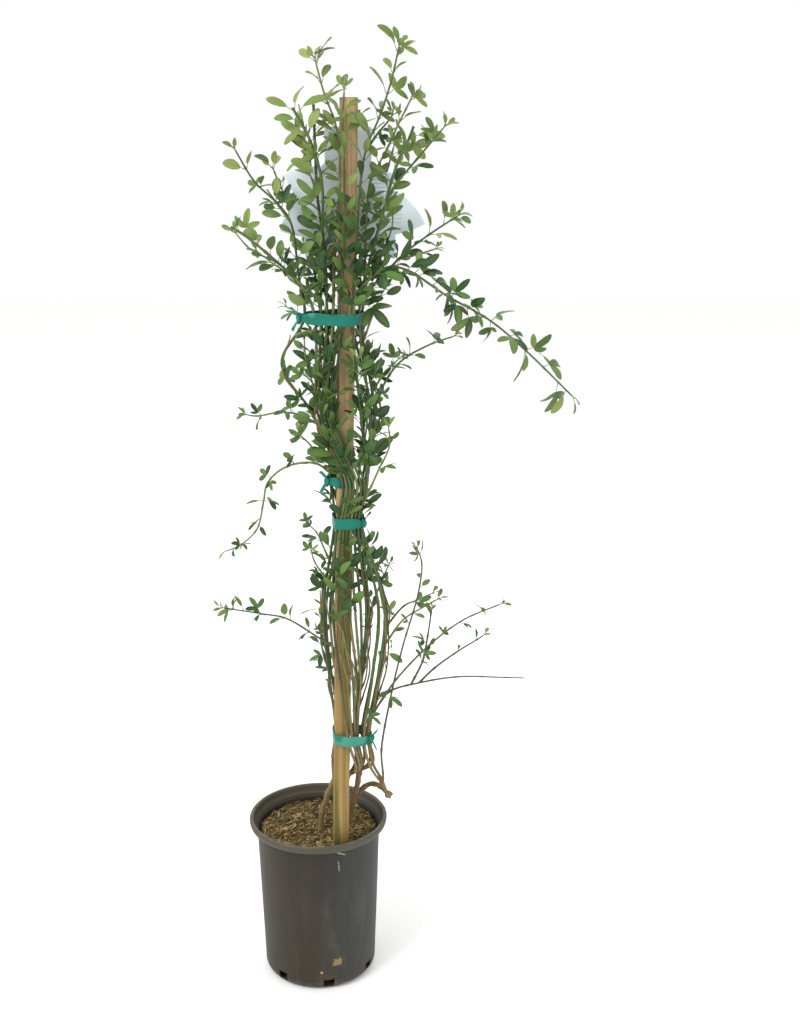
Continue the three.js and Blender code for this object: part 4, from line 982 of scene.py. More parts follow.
def stem_rings(stem):
    """Rings of a stem: centre + radius times the outline, in the plane across the line. The outline is a circle whose
    radius grows by a share of cos(4a), which makes four blunt corners."""
    shape, route = STEM_SHAPE[stem["kind"]], stem["route"]
    spacing, columns = RING_SPACING, shape["columns"]
    if stem.get("loose"):
        spacing, columns = LOOSE_RING_SPACING, LOOSE_COLUMNS
    fine = route.at(route.steps(spacing))
    length = Route.measured(fine)
    share = length / length[-1]
    if stem["kind"] == "cane":
        radius = np.interp(share * route.length, stem["at"], stem["radii"])
    else:
        radius = between(stem["radii"], share)
    phase = (length + shape["pitch"] * draw(len(fine), 31)) % shape["pitch"]
    node = np.exp(-((phase - shape["pitch"] / 2) / shape["swelling"]) ** 2)
    radius = radius * (1 + NODE_SWELLING * node + 0.03 * np.sin(length * 0.37))
    if stem["kind"] != "wood" and not stem["cut"]:
        radius = radius * np.clip((length[-1] - length) / TIP_TAPER, 0.25, 1)
    tangent = unit(np.gradient(fine, axis=0))
    side = unit(np.cross([0.12, 1.0, 0.05], tangent))
    other = np.cross(tangent, side)
    a = round_turn(columns)
    reach = radius[:, None] * (1 + shape["squareness"] * np.cos(4 * a))
    reach = reach * (1 + shape["wobble"] * np.sin(fine[:, 2:3] * 0.31 + np.arange(columns) * 1.9))
    around = np.cos(a)[:, None] * side[:, None] + np.sin(a)[:, None] * other[:, None]
    return fine[:, None] + reach[..., None] * around, length, fine


def bark_share(stem, fine):
    """How woody the stem is: all bark at the foot, green above the low tie."""
    if stem["kind"] == "wood" or stem.get("dry"):
        return np.ones(len(fine))
    share = np.clip((BARK["top"] - fine[:, 2]) / BARK["fade"], 0, 1)
    return share * (1 if stem["kind"] == "cane" else BARK["on_shoots"])


def stems_surface(owner):
    """All stems of a plant. Their look is the share of bark, the share of grey twig, and a tint."""
    s = Surface()
    for number, stem in enumerate(all_stems):
        if stem["owner"] == owner:
            rings, length, fine = stem_rings(stem)
            low = stem["kind"] == "shoot" and stem["route"].points[0][2] < TWIG["below"]
            grey = TWIG["grey"] if low and stem["bare"] else 0.0
            look = np.stack(np.broadcast_arrays(bark_share(stem, fine), grey, draw(number, 41)), 1)
            s.add_tubes(rings[None], (1.0, MM), length[None], look[None, :, None])
    return s


def lump(rows, columns, size, waves):
    """A lumpy ball: a sphere stretched by size, whose radius varies with waves of the latitude and longitude."""
    lat, lon = np.linspace(-1.45, 1.45, rows)[:, None], round_turn(columns)
    r = 1 + waves(lat, lon)
    ball = [r * np.cos(lat) * np.cos(lon), r * np.cos(lat) * np.sin(lon), r * np.sin(lat)]
    return np.stack(ball, -1) * size


def stem_finish():
    f = Finish("jasmine_stem", 0.45)
    bark, grey, tint = f.look()
    around, _ = f.unrolled()
    ridge = (around * 4 * 2 * math.pi).sin() * 0.5 + 0.5
    streaks = f.noise(900.0, 4.0, (1, 1, 0.12))
    patches = f.noise(60.0)
    green = f.mix(tint, (30, 54, 26), (84, 108, 52))
    green = f.coat(green, (tint.rise(0.8, 0.88) * 0.55, (140, 124, 76)), ((patches * 1.6 - 0.3) * 0.5, (86, 98, 52)),
                   (ridge * 0.3, (88, 112, 60)))
    twig = f.mix(streaks, (52, 54, 44), (84, 80, 68))
    wood = f.mix(streaks, (84, 68, 44), (148, 126, 86))
    wood = f.mix(tint.rise(0.2, 0.9) * 0.5, wood, (128, 114, 68))
    colour = f.coat(green, (grey, twig), ((bark + (patches - 0.5) * 0.5).rise(0.25, 0.75), wood))
    return f.paint(colour, 0.42 + 0.35 * bark, ridge * 0.3 + streaks * (0.3 + bark), 0.00035, 0.7)


STEM = stem_finish()
stem_surfaces = {owner: stems_surface(owner) for owner in PLANTS}
knuckle = lump(14, 20, (4.6, 4.6, 4.14), lambda lat, lon: 0.12 * np.sin(3 * lon + 2 * lat)
               + 0.08 * np.cos(5 * lat + lon))
arch_end = PLANTS["plant_right"]["wood"][-1]["points"][-1]
stem_surfaces["plant_right"].add_tubes((knuckle + arch_end)[None], (1.0, 0.02), look=(1.0, 0.2, 0.5))
for owner, surface in stem_surfaces.items():
    surface.make(f"{owner}_stems", STEM, "foliage", owner, 70)

# %% [markdown]
# ## Leaflets
# Every leaflet is a thin closed lens of 8 points by 7 rings: widest past its middle, with a short point, folded a
# little along its midrib and drooping to its tip. All of them are worked out together, as arrays with one entry a
# leaflet, and so are the leaf stalks.

# %% Leaflets
RINGS = np.array([0.02, 0.1, 0.27, 0.48, 0.7, 0.88, 0.98])
# A flat loop of eight points: places across it, and which are on the upper and the under side.
LENS = np.array([-1, -0.5, 0, 0.5, 1, 0.5, 0, -0.5])
SIDE = np.array([0, 1, 1, 1, 0, -1, -1, -1])
UNDER_SHIFT = 4
# Each leaflet's side, its length and half its width, in leaf lengths.
SINGLE, THREE = [(0, 1.04, 0.245)], [(0, 1.0, 0.215), (-1, 0.8, 0.18), (1, 0.8, 0.18)]


def leaflet_table(leaves):
    """One row a leaflet: where it starts, its three directions, its length, half width, droop, fold and twist, and
    its looks: tint, age and burn."""
    rows = []
    for leaf in leaves:
        n, scale = leaf["serial"], LEAF["length"] * leaf["size"]
        base = leaf["stem"]["route"].at(leaf["u"])[0]
        base = base + (leaf["axis"] * STALK + leaf["normal"] * LEAF["lift"] * STALK ** 2) * scale
        high = np.clip((leaf["root"][2] - 860) / 150, 0, 1) * (leaf["stem"]["name"] != "long_arch")
        age = np.clip(1.25 - leaf["along"] ** 3 - 0.45 * high + 0.5 * (draw(n, 8) - 0.5), 0, 1)
        burn = 1.0 if draw(n, 9) > 0.84 else 0.3 * draw(n, 10)
        for side, length, half in (SINGLE if leaf["single"] else THREE):
            axis = leaf["axis"] * math.cos(side * SIDE_BEARING) + leaf["across"] * math.sin(side * SIDE_BEARING)
            d = [draw(3 * n + side, salt) for salt in range(21, 27)]
            rows.append([*base, *axis, *np.cross(axis, leaf["normal"]), *leaf["normal"],
                         length * scale * (0.92 + 0.16 * d[0]), half * scale * (0.72 + 0.42 * d[1]),
                         LEAF["arch"] * (0.5 + 1.1 * d[2]), 0.15 + 0.5 * d[3], 1.5 * (d[4] - 0.5), d[5], age, burn])
    return np.array(rows)


def add_leaflets(s, table):
    """Leaflet formula: y along the axis, x = v times the half width, and the height is the fold of the two halves
    less the droop, with a small wave at the edge."""
    base, axis, across, normal = (table[:, None, None, k:k + 3] for k in (0, 3, 6, 9))
    length, half, droop, fold, twist, tint, age, burn = (table[:, None, None, k] for k in range(12, 20))
    t, v = RINGS[None, :, None], LENS[None, None, :]
    width = t ** 0.66 * (1 - t) ** 0.58 / 0.426 * half
    x = v * width
    wave = 0.04 * np.sin(t * 14 + tint * 40 + v * 2) * np.abs(v) * width
    height = fold * np.abs(v) * width * (1 - 0.45 * np.abs(v)) - droop * t ** 2 * length + wave
    height = height + SIDE * (0.16 * (1 - v ** 2) + 0.03) - 0.18 * (LENS == 0) * (SIDE < 0)
    turn = twist * t
    x, height = x * np.cos(turn) - height * np.sin(turn) * 0.3, height + x * np.sin(turn)
    y = t * length + 0 * x
    first = len(s.uvs)
    s.add_tubes(base + axis * y[..., None] + across * x[..., None] + normal * height[..., None],
                look=np.stack([tint, age, burn], -1))
    # U carries the place across the leaflet, with the underside UNDER_SHIFT further, and V the place along it.
    corner_rows, corner_columns = grid_faces(len(RINGS), len(LENS))
    corner_columns = corner_columns % len(LENS)
    over = SIDE[corner_columns].sum(1) > 0
    uv = np.stack([LENS[corner_columns] + np.where(over, 0, UNDER_SHIFT)[:, None], RINGS[corner_rows]], -1)
    s.uvs[first] = np.broadcast_to(uv, (len(table), *uv.shape)).reshape(-1, 2)


def add_stalks(s, leaves):
    """Leaf stalks: thin tubes that leave the stem and rise with the square of the reach."""
    t, a = np.linspace(0, 1, 4)[None, :, None, None], round_turn(5)[:, None]
    root = np.array([leaf["stem"]["route"].at(leaf["u"])[0] for leaf in leaves])[:, None, None]
    axis, across, normal = (np.array([leaf[k] for leaf in leaves])[:, None, None] for k in ("axis", "across", "normal"))
    scale = np.array([LEAF["length"] * leaf["size"] for leaf in leaves])[:, None, None, None]
    ring = (0.36 + 0.3 * (1 - t) ** 3) * (np.cos(a) * across - np.sin(a) * normal)
    centre = root + axis * t * (STALK + 0.03) * scale + normal * LEAF["lift"] * (STALK * t) ** 2 * scale
    s.add_tubes(centre + ring, (0.04, 0.3), look=(0.5, 0.35, 0.0))


def leaf_finish():
    f = Finish("jasmine_leaf", 0.28)
    tint, age, burn = f.look()
    across, along = f.unrolled()
    under = across.over(UNDER_SHIFT / 2)
    across = (across - under * UNDER_SHIFT).abs()
    midrib = across.fall(0.03, 0.13)
    veins = ((along * 9 - across * 1.6).fraction() - 0.5).abs().rise(0.34, 0.5)
    mottle = f.noise(420.0, 4.0)
    edge = (across + (mottle - 0.5) * 0.5 + along * 0.25).rise(0.75, 1.1)
    young = f.mix(tint, (98, 124, 56), (138, 152, 84))
    grown = f.mix(tint.rise(0.0, 1.0), (20, 58, 28), (90, 122, 58))
    colour = f.coat(young, (age.rise(0.1, 0.75), grown), ((mottle - 0.4) * 0.5, (72, 106, 46)),
                    (midrib * 0.32 + veins * 0.1, (104, 134, 68)), (under * 0.5, (84, 108, 66)),
                    (edge * burn, (70, 40, 34)))
    height = midrib * -1.0 - veins * 0.4 + mottle * 0.3
    return f.paint(colour, 0.36 + 0.2 * under + 0.15 * mottle, height, 0.00025, 0.6)


LEAF_FINISH = leaf_finish()
for owner in PLANTS:
    own = [leaf for leaf in leaves if leaf["stem"]["owner"] == owner]
    surface = Surface()
    add_leaflets(surface, leaflet_table(own))
    add_stalks(surface, own)
    surface.make(f"{owner}_leaves", LEAF_FINISH, "foliage", owner, 80)

# %% [markdown]
# ## Nursery pot
# A one-gallon can is blown from black plastic that fades to a warm grey. It has a rolled collar for grip, a rounded
# bottom corner and drainage slots cut through that corner. One profile runs up the outside, over the rim and down the
# inside, and a full turn of it is the pot. The slots are left out of the grid and their edges are joined wall to wall.

# %% Pot
SLOT_BANDS, SLOT_COLUMNS, BETWEEN_SLOTS = 6, 6, 17


def wall_radius(z):
    return between((POT["base"], POT["shoulder"]), (z - POT["corner"]) / (POT["collar"] - POT["corner"]))


def corner_points(angles, radius):
    """Places on the rounded bottom corner, at angles from the level."""
    centre, a = POT["base"] - POT["corner"], np.radians(angles)
    return np.stack([centre + radius * np.cos(a), POT["corner"] + radius * np.sin(a)], 1).tolist()


def pot_profile():
    """Radius and height of each row, and the rows where the slots start outside and inside."""
    wall, slot_top = POT["wall"], POT["slot_top"]
    outside = [[20, 1.4], [43, 1.4], [45.5, 0.3], [47.5, 0], [56, 0]]
    outside += corner_points([-78, -64, -46.7, -35, -22, -10, 0], POT["corner"])
    slot_out = len(outside) - 5
    outside += [[wall_radius(z), z] for z in (13.5, slot_top, 18, 40, 75, 110, 145, 170, 182)]
    rim = [[73, 186.8], [73.3, 188.2], [74.4, 189.1], [76.6, 189.5], [79, 190], [80.6, 190.9], [81.5, 192.2],
           [82.1, 194.6], [82.4, 196.8], [82.2, 198.3], [81.4, 199.4], [80.2, 199.95], [79, 199.9], [77.9, 199.2],
           [77.3, 197.8], [76.9, 195], [76.2, 192], [74.8, 189.6], [72.6, 187.8], [71.3, 186.2]]
    inside = [[wall_radius(z) - wall, z] for z in (183, 165, 120, 75, 40, 18, slot_top, 13.5)]
    slot_in = len(outside) + len(rim) + len(inside) - 2
    inside += corner_points([0, -10, -25, -39.5, -55.7], POT["corner"] - wall)
    inside += [[54, POT["floor"]], [20, POT["floor"]]]
    return np.array(outside + rim + inside), slot_out, slot_in


def pot_surface():
    """Turns the profile about Z. The columns crowd at the slots, so that each slot's sides are straight."""
    profile, slot_out, slot_in = pot_profile()
    sector, per_sector = 360 / POT["slots"], SLOT_COLUMNS + 1 + BETWEEN_SLOTS
    half = math.degrees(POT["slot_width"] / 2 / 66)
    turns = np.concatenate([np.linspace(-half, half, SLOT_COLUMNS + 1),
                            np.linspace(half, sector - half, BETWEEN_SLOTS + 2)[1:-1]])
    turns = np.concatenate([turns + k * sector for k in range(POT["slots"])])
    a = np.radians(turns + POT["slot_bearing"])
    radius, height = profile[:, :1], profile[:, 1:]
    # The blown wall is never quite round.
    soft = 0.35 * np.sin(2 * a + 0.6) + 0.2 * np.sin(3 * a + height / 60)
    radius = radius + soft * np.clip((height - 20) / 100, 0, 1) * (height < POT["collar"])
    points = np.stack([radius * np.cos(a), radius * np.sin(a), height + 0 * a], -1)
    rows, columns = points.shape[:2]
    corner_rows, corner_columns = grid_faces(rows, columns)
    band = corner_rows[:, 0]
    in_slot = (band >= slot_out) & (band < slot_out + SLOT_BANDS) | (band >= slot_in) & (band < slot_in + SLOT_BANDS)
    solid = ~(in_slot & (corner_columns[:, 0] % per_sector < SLOT_COLUMNS))
    s = Surface()
    s.add(points.reshape(-1, 3), (corner_rows * columns + corner_columns % columns)[solid],
          np.stack([corner_columns / columns, height[corner_rows, 0] * MM], -1)[solid])
    ring = np.arange(columns)
    ahead = (ring + 1) % columns
    for row, pair in ((0, (ahead, ring)), (rows - 1, (ring, ahead))):
        tris = np.stack([pair[0] + row * columns, pair[1] + row * columns, np.full(columns, s.count)], -1) - s.count
        s.add(np.array([[0, 0, profile[row, 1]]]), tris, np.zeros((columns, 3, 2)))

    def strip(outer, inner):
        """Quads between a path of (row, column) outside and the path that faces it inside."""
        o, i = (np.array([row * columns + column for row, column in path]) for path in (outer, inner))
        return np.stack([o[:-1], o[1:], i[1:], i[:-1]], -1)

    bands = range(SLOT_BANDS + 1)
    edges = []
    for left in range(0, columns, per_sector):
        across = range(left, left + SLOT_COLUMNS + 1)
        up = {c: [(slot_out + k, c) for k in bands] for c in (across[0], across[-1])}
        down = {c: [(slot_in + SLOT_BANDS - k, c) for k in bands] for c in up}
        edges += [strip(up[across[0]], down[across[0]]),
                  strip(up[across[-1]][::-1], down[across[-1]][::-1]),
                  strip([(slot_out, c) for c in across[::-1]], [(slot_in + SLOT_BANDS, c) for c in across[::-1]]),
                  strip([(slot_out + SLOT_BANDS, c) for c in across], [(slot_in, c) for c in across])]
    s.faces.append(np.concatenate(edges))
    s.uvs.append(np.zeros((4 * len(s.faces[-1]), 2)))
    return s


def pot_finish():
    f = Finish("nursery_can_plastic", 0.25)
    x, y, z = f.place()
    cloud = f.noise(14.0, 5.0)
    drag = f.noise(120.0, 3.0, (1, 1, 0.1))
    pebble = f.noise(1500.0, 2.0)
    blot = f.noise(340.0, 5.0)
    cool = f.mix(cloud, (42, 43, 40), (58, 59, 55))
    # Painted shade: a darker patch high on the middle of the pot's front, where shade falls
    painted_shade = z.rise(0.09, 0.17) * x.near(-0.005, 0.02, 0.06) * y.fall(-0.06, -0.03)
    worn = (z.rise(0.1985, 0.2) + z.fall(0.004, 0.016) * 0.6) * f.noise(90.0).rise(0.35, 0.65)
    dust = z.fall(0.0, 0.07) * f.noise(45.0, 5.0).rise(0.45, 0.75)
    scuff = f.noise(34.0, 5.0, (1, 1, 0.4)).rise(0.5, 0.75) * x.rise(0.0, 0.02) * z.fall(0.1, 0.15)
    # Two pale scratches, a speck and a tan smudge on the front
    front = y.fall(-0.06, -0.05)
    level = (z + (x - 0.03) * 0.5).near(0.1835, 0.0004, 0.0012) * x.near(0.03, 0.0035, 0.0055)
    upright = (x + (z - 0.167) * 0.08).near(0.027, 0.0002, 0.0009) * z.near(0.167, 0.005, 0.008)
    scratches = front * (level + upright) * f.noise(700.0).rise(0.3, 0.5)
    speck = front * ((x - 0.005) ** 2 + (z - 0.025) ** 2).fall(0.000001, 0.000005)
    ragged = ((x - 0.0237) * 0.8) ** 2 + (z - 0.0375) ** 2 + (blot - 0.5) * 0.00016
    smudge = front * ragged.fall(0.000016, 0.00003)
    colour = f.mix(cloud, (37, 34, 26), (58, 52, 41))
    colour = f.coat(colour, (x.rise(-0.01, 0.045), cool), ((drag - 0.45) * 0.5, (76, 72, 62)),
                    (painted_shade * 0.35, (32, 31, 27)), (z.rise(0.1885, 0.1905) * 0.55, (92, 86, 72)),
                    (worn * 0.4, (118, 112, 98)), (dust * 0.3, (92, 80, 62)), (scuff * 0.3, (98, 99, 98)),
                    (scratches * 0.6, (190, 188, 180)), (speck * 0.7, (168, 162, 138)), (smudge * 0.75, (150, 122, 76)))
    return f.paint(colour, 0.4 + 0.25 * cloud + 0.2 * dust, pebble * 0.5 + drag * 0.4, 0.0002, 0.5)


pot_surface().make("nursery_pot", pot_finish(), "pot", "pot", 38)

# %% [markdown]
# ## Compost
# Bark compost is a dark crumb with tan fibres and curled scraps of bark on it. Its top is a polar grid lifted by
# crossed waves, and slivers in many browns lie over it. Each sliver is a bent four-sided rod with few faces.

# %% Compost
def soil_height(x, y):
    """Humps of crossed waves, the same as the solid's."""
    broad = np.sin(x * 0.21 + 1.3) * np.cos(y * 0.19 - 0.4)
    crossed = np.sin(x * 0.47 - y * 0.39 + 2.1)
    return SOIL["top"] + SOIL["relief"] * (0.6 * broad + 0.42 * crossed + 0.5 * np.sin(x * 0.83 + y * 0.71))


def crumb(x, y):
    """Small grains: products of fast waves in turned directions."""
    a = np.sin(x * 1.9 + np.sin(y * 1.3) * 2) * np.sin(y * 2.1 + np.sin(x * 1.1) * 2)
    b = np.sin(x * 3.7 - y * 2.9 + 1.7) * np.sin(x * 2.3 + y * 4.1)
    return 0.75 * a + 0.5 * b


def soil_surface():
    s = Surface()
    edge = wall_radius(178) - POT["wall"] - GAP
    low = np.array([[20, 3.8], [54, 3.8], [wall_radius(14) - 2.2, 14], [edge - 0.3, 172]])
    radius = np.concatenate([low[:, 0], np.linspace(edge, 2.5, 62)])[:, None]
    a = round_turn(168)
    x, y = radius * np.cos(a), radius * np.sin(a)
    z = soil_height(x, y) + crumb(x, y) - 3.5 * np.clip((radius - edge + 4) / 4, 0, 1) ** 2
    z[:len(low)] = low[:, 1:]
    s.add_tubes(np.stack([x, y, z], -1)[None], look=(0.25, 0.0, 0.0))
    return s


def add_slivers(s, count, salt, length, width, thickness):
    """Rods of a flat oval section, bent up and aside by the square of the place along them. Their look is a tint."""
    d = draw(np.arange(count)[:, None] + 1, salt + np.arange(8))[:, None, None, :, None]
    d = np.moveaxis(d, 3, 0)
    r, turn = 67 * np.sqrt(d[0]), d[1] * 2 * math.pi
    x, y = r * np.cos(turn), r * np.sin(turn)
    heading, pitch = d[2] * 2 * math.pi, (d[3] - 0.4) * 0.5
    long, wide = between(length, d[4] ** 2), between(width, d[5])
    axis = np.concatenate([np.cos(heading) * np.cos(pitch), np.sin(heading) * np.cos(pitch), np.sin(pitch)], -1)
    across = np.concatenate([-np.sin(heading), np.cos(heading), 0 * heading], -1)
    up = np.cross(axis, across)
    t = np.linspace(-1, 1, 5)[None, :, None, None]
    bend, sway = ((d[k] - middle) * much * long * t ** 2 for k, middle, much in ((6, 0.45, 0.35), (7, 0.5, 0.5)))
    a = (round_turn(4) + 0.6)[:, None]
    ring = (np.cos(a) * wide * across + np.sin(a) * thickness * up) * (1 - 0.55 * t ** 2) / 2
    centre = np.concatenate([x, y, soil_height(x, y) + crumb(x, y) * 0.5 + 0.9], -1)
    rings = centre + axis * t * long / 2 + up * bend + across * sway + ring
    inside = np.hypot(rings[..., 0], rings[..., 1]).max((1, 2)) < 70
    look = draw(np.arange(count), salt + 9)[:, None, None, None] * np.array([1, 0, 0])
    s.add_tubes(rings[inside], (0.01, 0.02), look=look[inside])


def add_scraps(s):
    """Curled scraps of bark: strips rolled up along their length."""
    for k in range(SOIL["scraps"]):
        half_long, half_wide = (13 + 9 * draw(k, 11)) / 2, 3.5
        t = np.linspace(-1, 1, 17)[:, None]
        x = t * half_long + 0 * LENS
        y = LENS * half_wide * (1 - 0.3 * t ** 4) + 0.5 * np.sin(t * 5 + k)
        z = 0.03 * x ** 2 - 0.4 + 0.09 * y ** 2 + SIDE * (0.55 + 0.2 * np.sin(7 * t + LENS * 3))
        turn, reach = k * 2.4, 30 + 30 * draw(k, 12)
        at = reach * math.cos(turn), reach * math.sin(turn)
        x, y = spun(x, y, turn * 1.7)
        rings = np.stack([x + at[0], y + at[1], z + soil_height(*at) + 1.1], -1)
        s.add_tubes(rings[None], look=(0.55 + 0.4 * draw(k, 14), 0, 0))


def soil_finish():
    f = Finish("bark_compost", 0.2, 0.92)
    tint = f.look()[0]
    grain = f.noise(900.0, 5.0)
    clump = f.noise(110.0, 4.0)
    moss = f.noise(38.0).rise(0.55, 0.7)
    dark = f.mix(clump.rise(0.3, 0.7), (44, 32, 20), (98, 80, 50))
    pale = f.mix(grain, (124, 104, 62), (208, 182, 128))
    colour = f.coat(dark, (tint.rise(0.2, 0.95) * 0.9, pale), ((grain - 0.35) * 0.5, (152, 130, 84)),
                    (f.noise(2400.0, 2.0).rise(0.58, 0.7) * 0.6, (38, 27, 18)), (moss * 0.45, (96, 104, 50)),
                    (f.place()[2].fall(0.02, 0.06) * 0.85, (128, 62, 40)))
    return f.paint(colour, None, grain + clump * 0.6, 0.0008, 0.9)


compost = soil_surface()
add_slivers(compost, 1000, 60, (4, 13), (1.0, 3.0), 0.9)
add_slivers(compost, 420, 75, (8, 22), (0.6, 1.3), 0.6)
add_scraps(compost)
compost.make("compost", soil_finish(), "soil", "soil", 60)

# %% [markdown]
# ## Stake
# The stake is sawn softwood, 17 mm square. Its foot keeps the gold of fresh wood and its top has weathered to a pinkish
# grey. A rounded square is carried up the leaning axis, and slow waves take the machine straightness off its edges.

# %% Stake
def beside_stake(z, across, back):
    """A place beside the stake, measured along its face and out of its back."""
    x, y = spun(across, back, STAKE["turn"])
    return np.stack(np.broadcast_arrays(stake_x(z) + x, STAKE["y"] + y, z), -1)


def stake_surface():
    half, round_edge, top = STAKE["side"] / 2, 0.9, STAKE["top"]
    t = np.array([-1, -0.97, -0.9, -0.6, -0.2, 0.2, 0.6, 0.9, 0.97])
    side = np.stack([t, -1 + 0 * t], 1) * half
    square = np.concatenate([side, side[:, ::-1] * (-1, 1), -side, side[:, ::-1] * (1, -1)])
    core = np.clip(square, -(half - round_edge), half - round_edge)
    outline = core + (square - core) / np.linalg.norm(square - core, axis=1, keepdims=True) * round_edge
    z = np.array([*np.arange(STAKE["foot"], top - 3, 7.0), top - 0.9, top - 0.2, top, top, top])[:, None]
    shrink = np.ones(z.shape)
    shrink[-4:, 0] = [0.975, 0.93, 0.6, 0.25]
    column = np.arange(len(outline))
    dents = 0.1 * np.sin(z * 0.043 + column * 1.7) + 0.07 * np.sin(z * 0.15 + column * 2.9)
    size = shrink * (1 - (0.05 - dents) * 0.12)
    rings = beside_stake(z, outline[:, 0] * size, outline[:, 1] * size)
    rings[..., 2] -= np.where(z >= top, np.abs(0.25 * np.sin(column * 0.9)), 0.0)
    s = Surface()
    s.add_tubes(rings[None], (0.068, MM), (z - z[0]).T)
    return s


def stake_finish():
    f = Finish("sawn_softwood", 0.25)
    x, y, z = f.place()
    grain = f.noise(260.0, 6.0, (1, 1, 0.035), 0.65)
    bands = f.noise(70.0, 2.0, (1, 1, 0.05))
    rays = (bands * 24 + grain * 3).sin() * 0.35 + grain * 0.3 + 0.35
    fresh = f.mix(rays, (128, 104, 60), (162, 134, 84))
    weathered = f.mix(rays, (158, 130, 92), (196, 168, 126))
    height = (z + (bands - 0.5) * 0.2).rise(0.38, 0.72)
    grey = f.noise(24.0, 4.0, (1, 1, 0.3)).rise(0.5, 0.75)
    # Algae on the lower left of the front face
    from_axis = x - STAKE["foot_x"] * MM - z * STAKE["lean"]
    behind = (y - STAKE["y"] * MM) * math.cos(STAKE["turn"]) - from_axis * math.sin(STAKE["turn"])
    front = behind.fall(-0.0083, -0.0076)
    edge = x - 0.0261 + (z - 0.285) * 0.037 + (grain - 0.5) * 0.006
    algae = z.fall(0.26, 0.38) * edge.fall(-0.0022, 0.0014) * (front * 0.8 + 0.2)
    algae = algae * f.noise(150.0, 3.0, (1, 1, 0.12)).rise(0.25, 0.5)
    colour = f.coat(fresh, (height, weathered), ((grain - 0.5).rise(0.03, 0.2) * 0.5, (104, 80, 54)),
                    (grey * height * 0.35, (134, 118, 100)), (algae * 0.85, f.mix(grain, (52, 68, 22), (96, 104, 46))),
                    (z.fall(0.182, 0.2) * 0.6, (66, 52, 30)), (z.rise(1.0272, 1.0276) * 0.6, (124, 98, 72)))
    return f.paint(colour, 0.72 + 0.12 * grain, rays * 0.4 + grain, 0.0004, 0.8)


stake_surface().make("wooden_stake", stake_finish(), "stake", "stake", 50)

# %% [markdown]
# ## Tape ties
# Each tie is a loop of soft green tape, pulled tight round the stake and the stems and knotted, with two short tails.
# The loop takes the shape of a stretched band: in each direction it touches whatever reaches furthest. The tape narrows
# and creases towards its knot.

# %% Tape ties
def bundle_outline(z, groups, count):
    """The stretched band: its distance in a direction is the largest of centre . direction + radius. Its corners lie
    where neighbouring directions' edges meet."""
    balls = []
    half = STAKE["side"] / 2
    tongue = TAG["thickness"] + GAP if z > TAG["tongue_foot"] else 0
    for level in (z - TAPE["width"] / 2, z, z + TAPE["width"] / 2):
        routes = [stem["route"] for stem in all_stems if stem.get("group") in groups]
        balls += [[*r.at(r.along(r.distance_at_height(level))[2])[0], CANE_RADIUS["foot"]] for r in routes]
        balls += [[*beside_stake(level, a, b), 0.0] for a in (-half, half) for b in (-half, half + tongue)]
    balls = np.array(balls)
    turn, a = 2 * math.pi / count, round_turn(count)
    facing = np.stack([np.cos(a), np.sin(a)], 1)
    reach = (balls[:, :2] @ facing.T + balls[:, 3:]).max(0)
    sideways = (np.roll(reach, -1) - reach * math.cos(turn)) / math.sin(turn)
    return facing * reach[:, None] + np.stack([-np.sin(a), np.cos(a)], 1) * sideways[:, None]


def even_loop(points, count):
    """The loop's points spread at even distances along it and smoothed, their distances and the whole length."""
    closed = np.vstack([points, points[:1]])
    length = Route.measured(closed)
    at = np.arange(count) * length[-1] / count
    loop = np.stack([np.interp(at, length, closed[:, k]) for k in (0, 1)], 1)
    return 0.5 * loop + 0.25 * (np.roll(loop, 1, 0) + np.roll(loop, -1, 0)), at, length[-1]


def tie_surface(z, knot, groups, salt):
    """The band is a flat section carried round the loop. It is pinched near the knot, and two waves crease it."""
    s = Surface()
    corners = bundle_outline(z, groups, 72)
    loop, at, total = even_loop(corners, 120)
    tangent = unit(np.roll(loop, -1, 0) - np.roll(loop, 1, 0))
    out = np.stack([tangent[:, 1], -tangent[:, 0]], 1)
    turn = math.radians(knot)
    direction = np.array([math.cos(turn), math.sin(turn)])
    place = corners[int(np.argmax(corners @ direction))]
    from_knot = np.abs(at - at[int(np.argmin(np.linalg.norm(loop - place, axis=1)))])
    pinch = np.exp(-(np.minimum(from_knot, total - from_knot) / 7) ** 2)[:, None]
    at = at[:, None]
    v = np.array([1, 0.9, 0.6, 0.2, -0.2, -0.6, -0.9, -1, -0.9, -0.6, -0.2, 0.2, 0.6, 0.9])
    outer = np.array([0.5, 1, 1, 1, 1, 1, 1, 0.5, 0, 0, 0, 0, 0, 0])
    half = TAPE["width"] / 2 * (1 - 0.45 * pinch + 0.04 * np.sin(at * 0.21 + salt))
    crease = 0.22 * np.sin(v * 5 + at * 0.5 + salt) + 0.16 * np.sin(at * 0.9 - v * 3)
    crease = np.maximum(crease * (0.4 + 1.6 * pinch), -0.3)
    offset = TAPE["clearance"] + 0.05 + 0.65 * outer + crease + 0.5 * pinch
    ring = loop[:, None] + out[:, None] * offset[..., None]
    height = z + v * half + 0.5 * np.sin(at * 2 * math.pi / total + salt)
    s.add_loop(np.concatenate([ring, height[..., None]], -1))
    anchor = np.array([*(place + direction * 1.9), z])
    knot_lump = lump(12, 16, (3.1, 4, 5.6), lambda lat, lon: 0.16 * np.sin(2 * lon + 3 * lat + salt)
                     + 0.1 * np.sin(5 * lon - 2 * lat))
    s.add_tubes((turned(knot_lump, turn) + anchor)[None])
    for lift, roll in TAIL["lifts"]:
        s.add_tubes((turned(tail_rings(lift, roll, salt), turn) + anchor - (*direction * 0.9, 0))[None])
    return s


def turned(points, angle):
    """The points turned about Z."""
    x, y = spun(points[..., 0], points[..., 1], angle)
    return np.stack([x, y, points[..., 2]], -1)


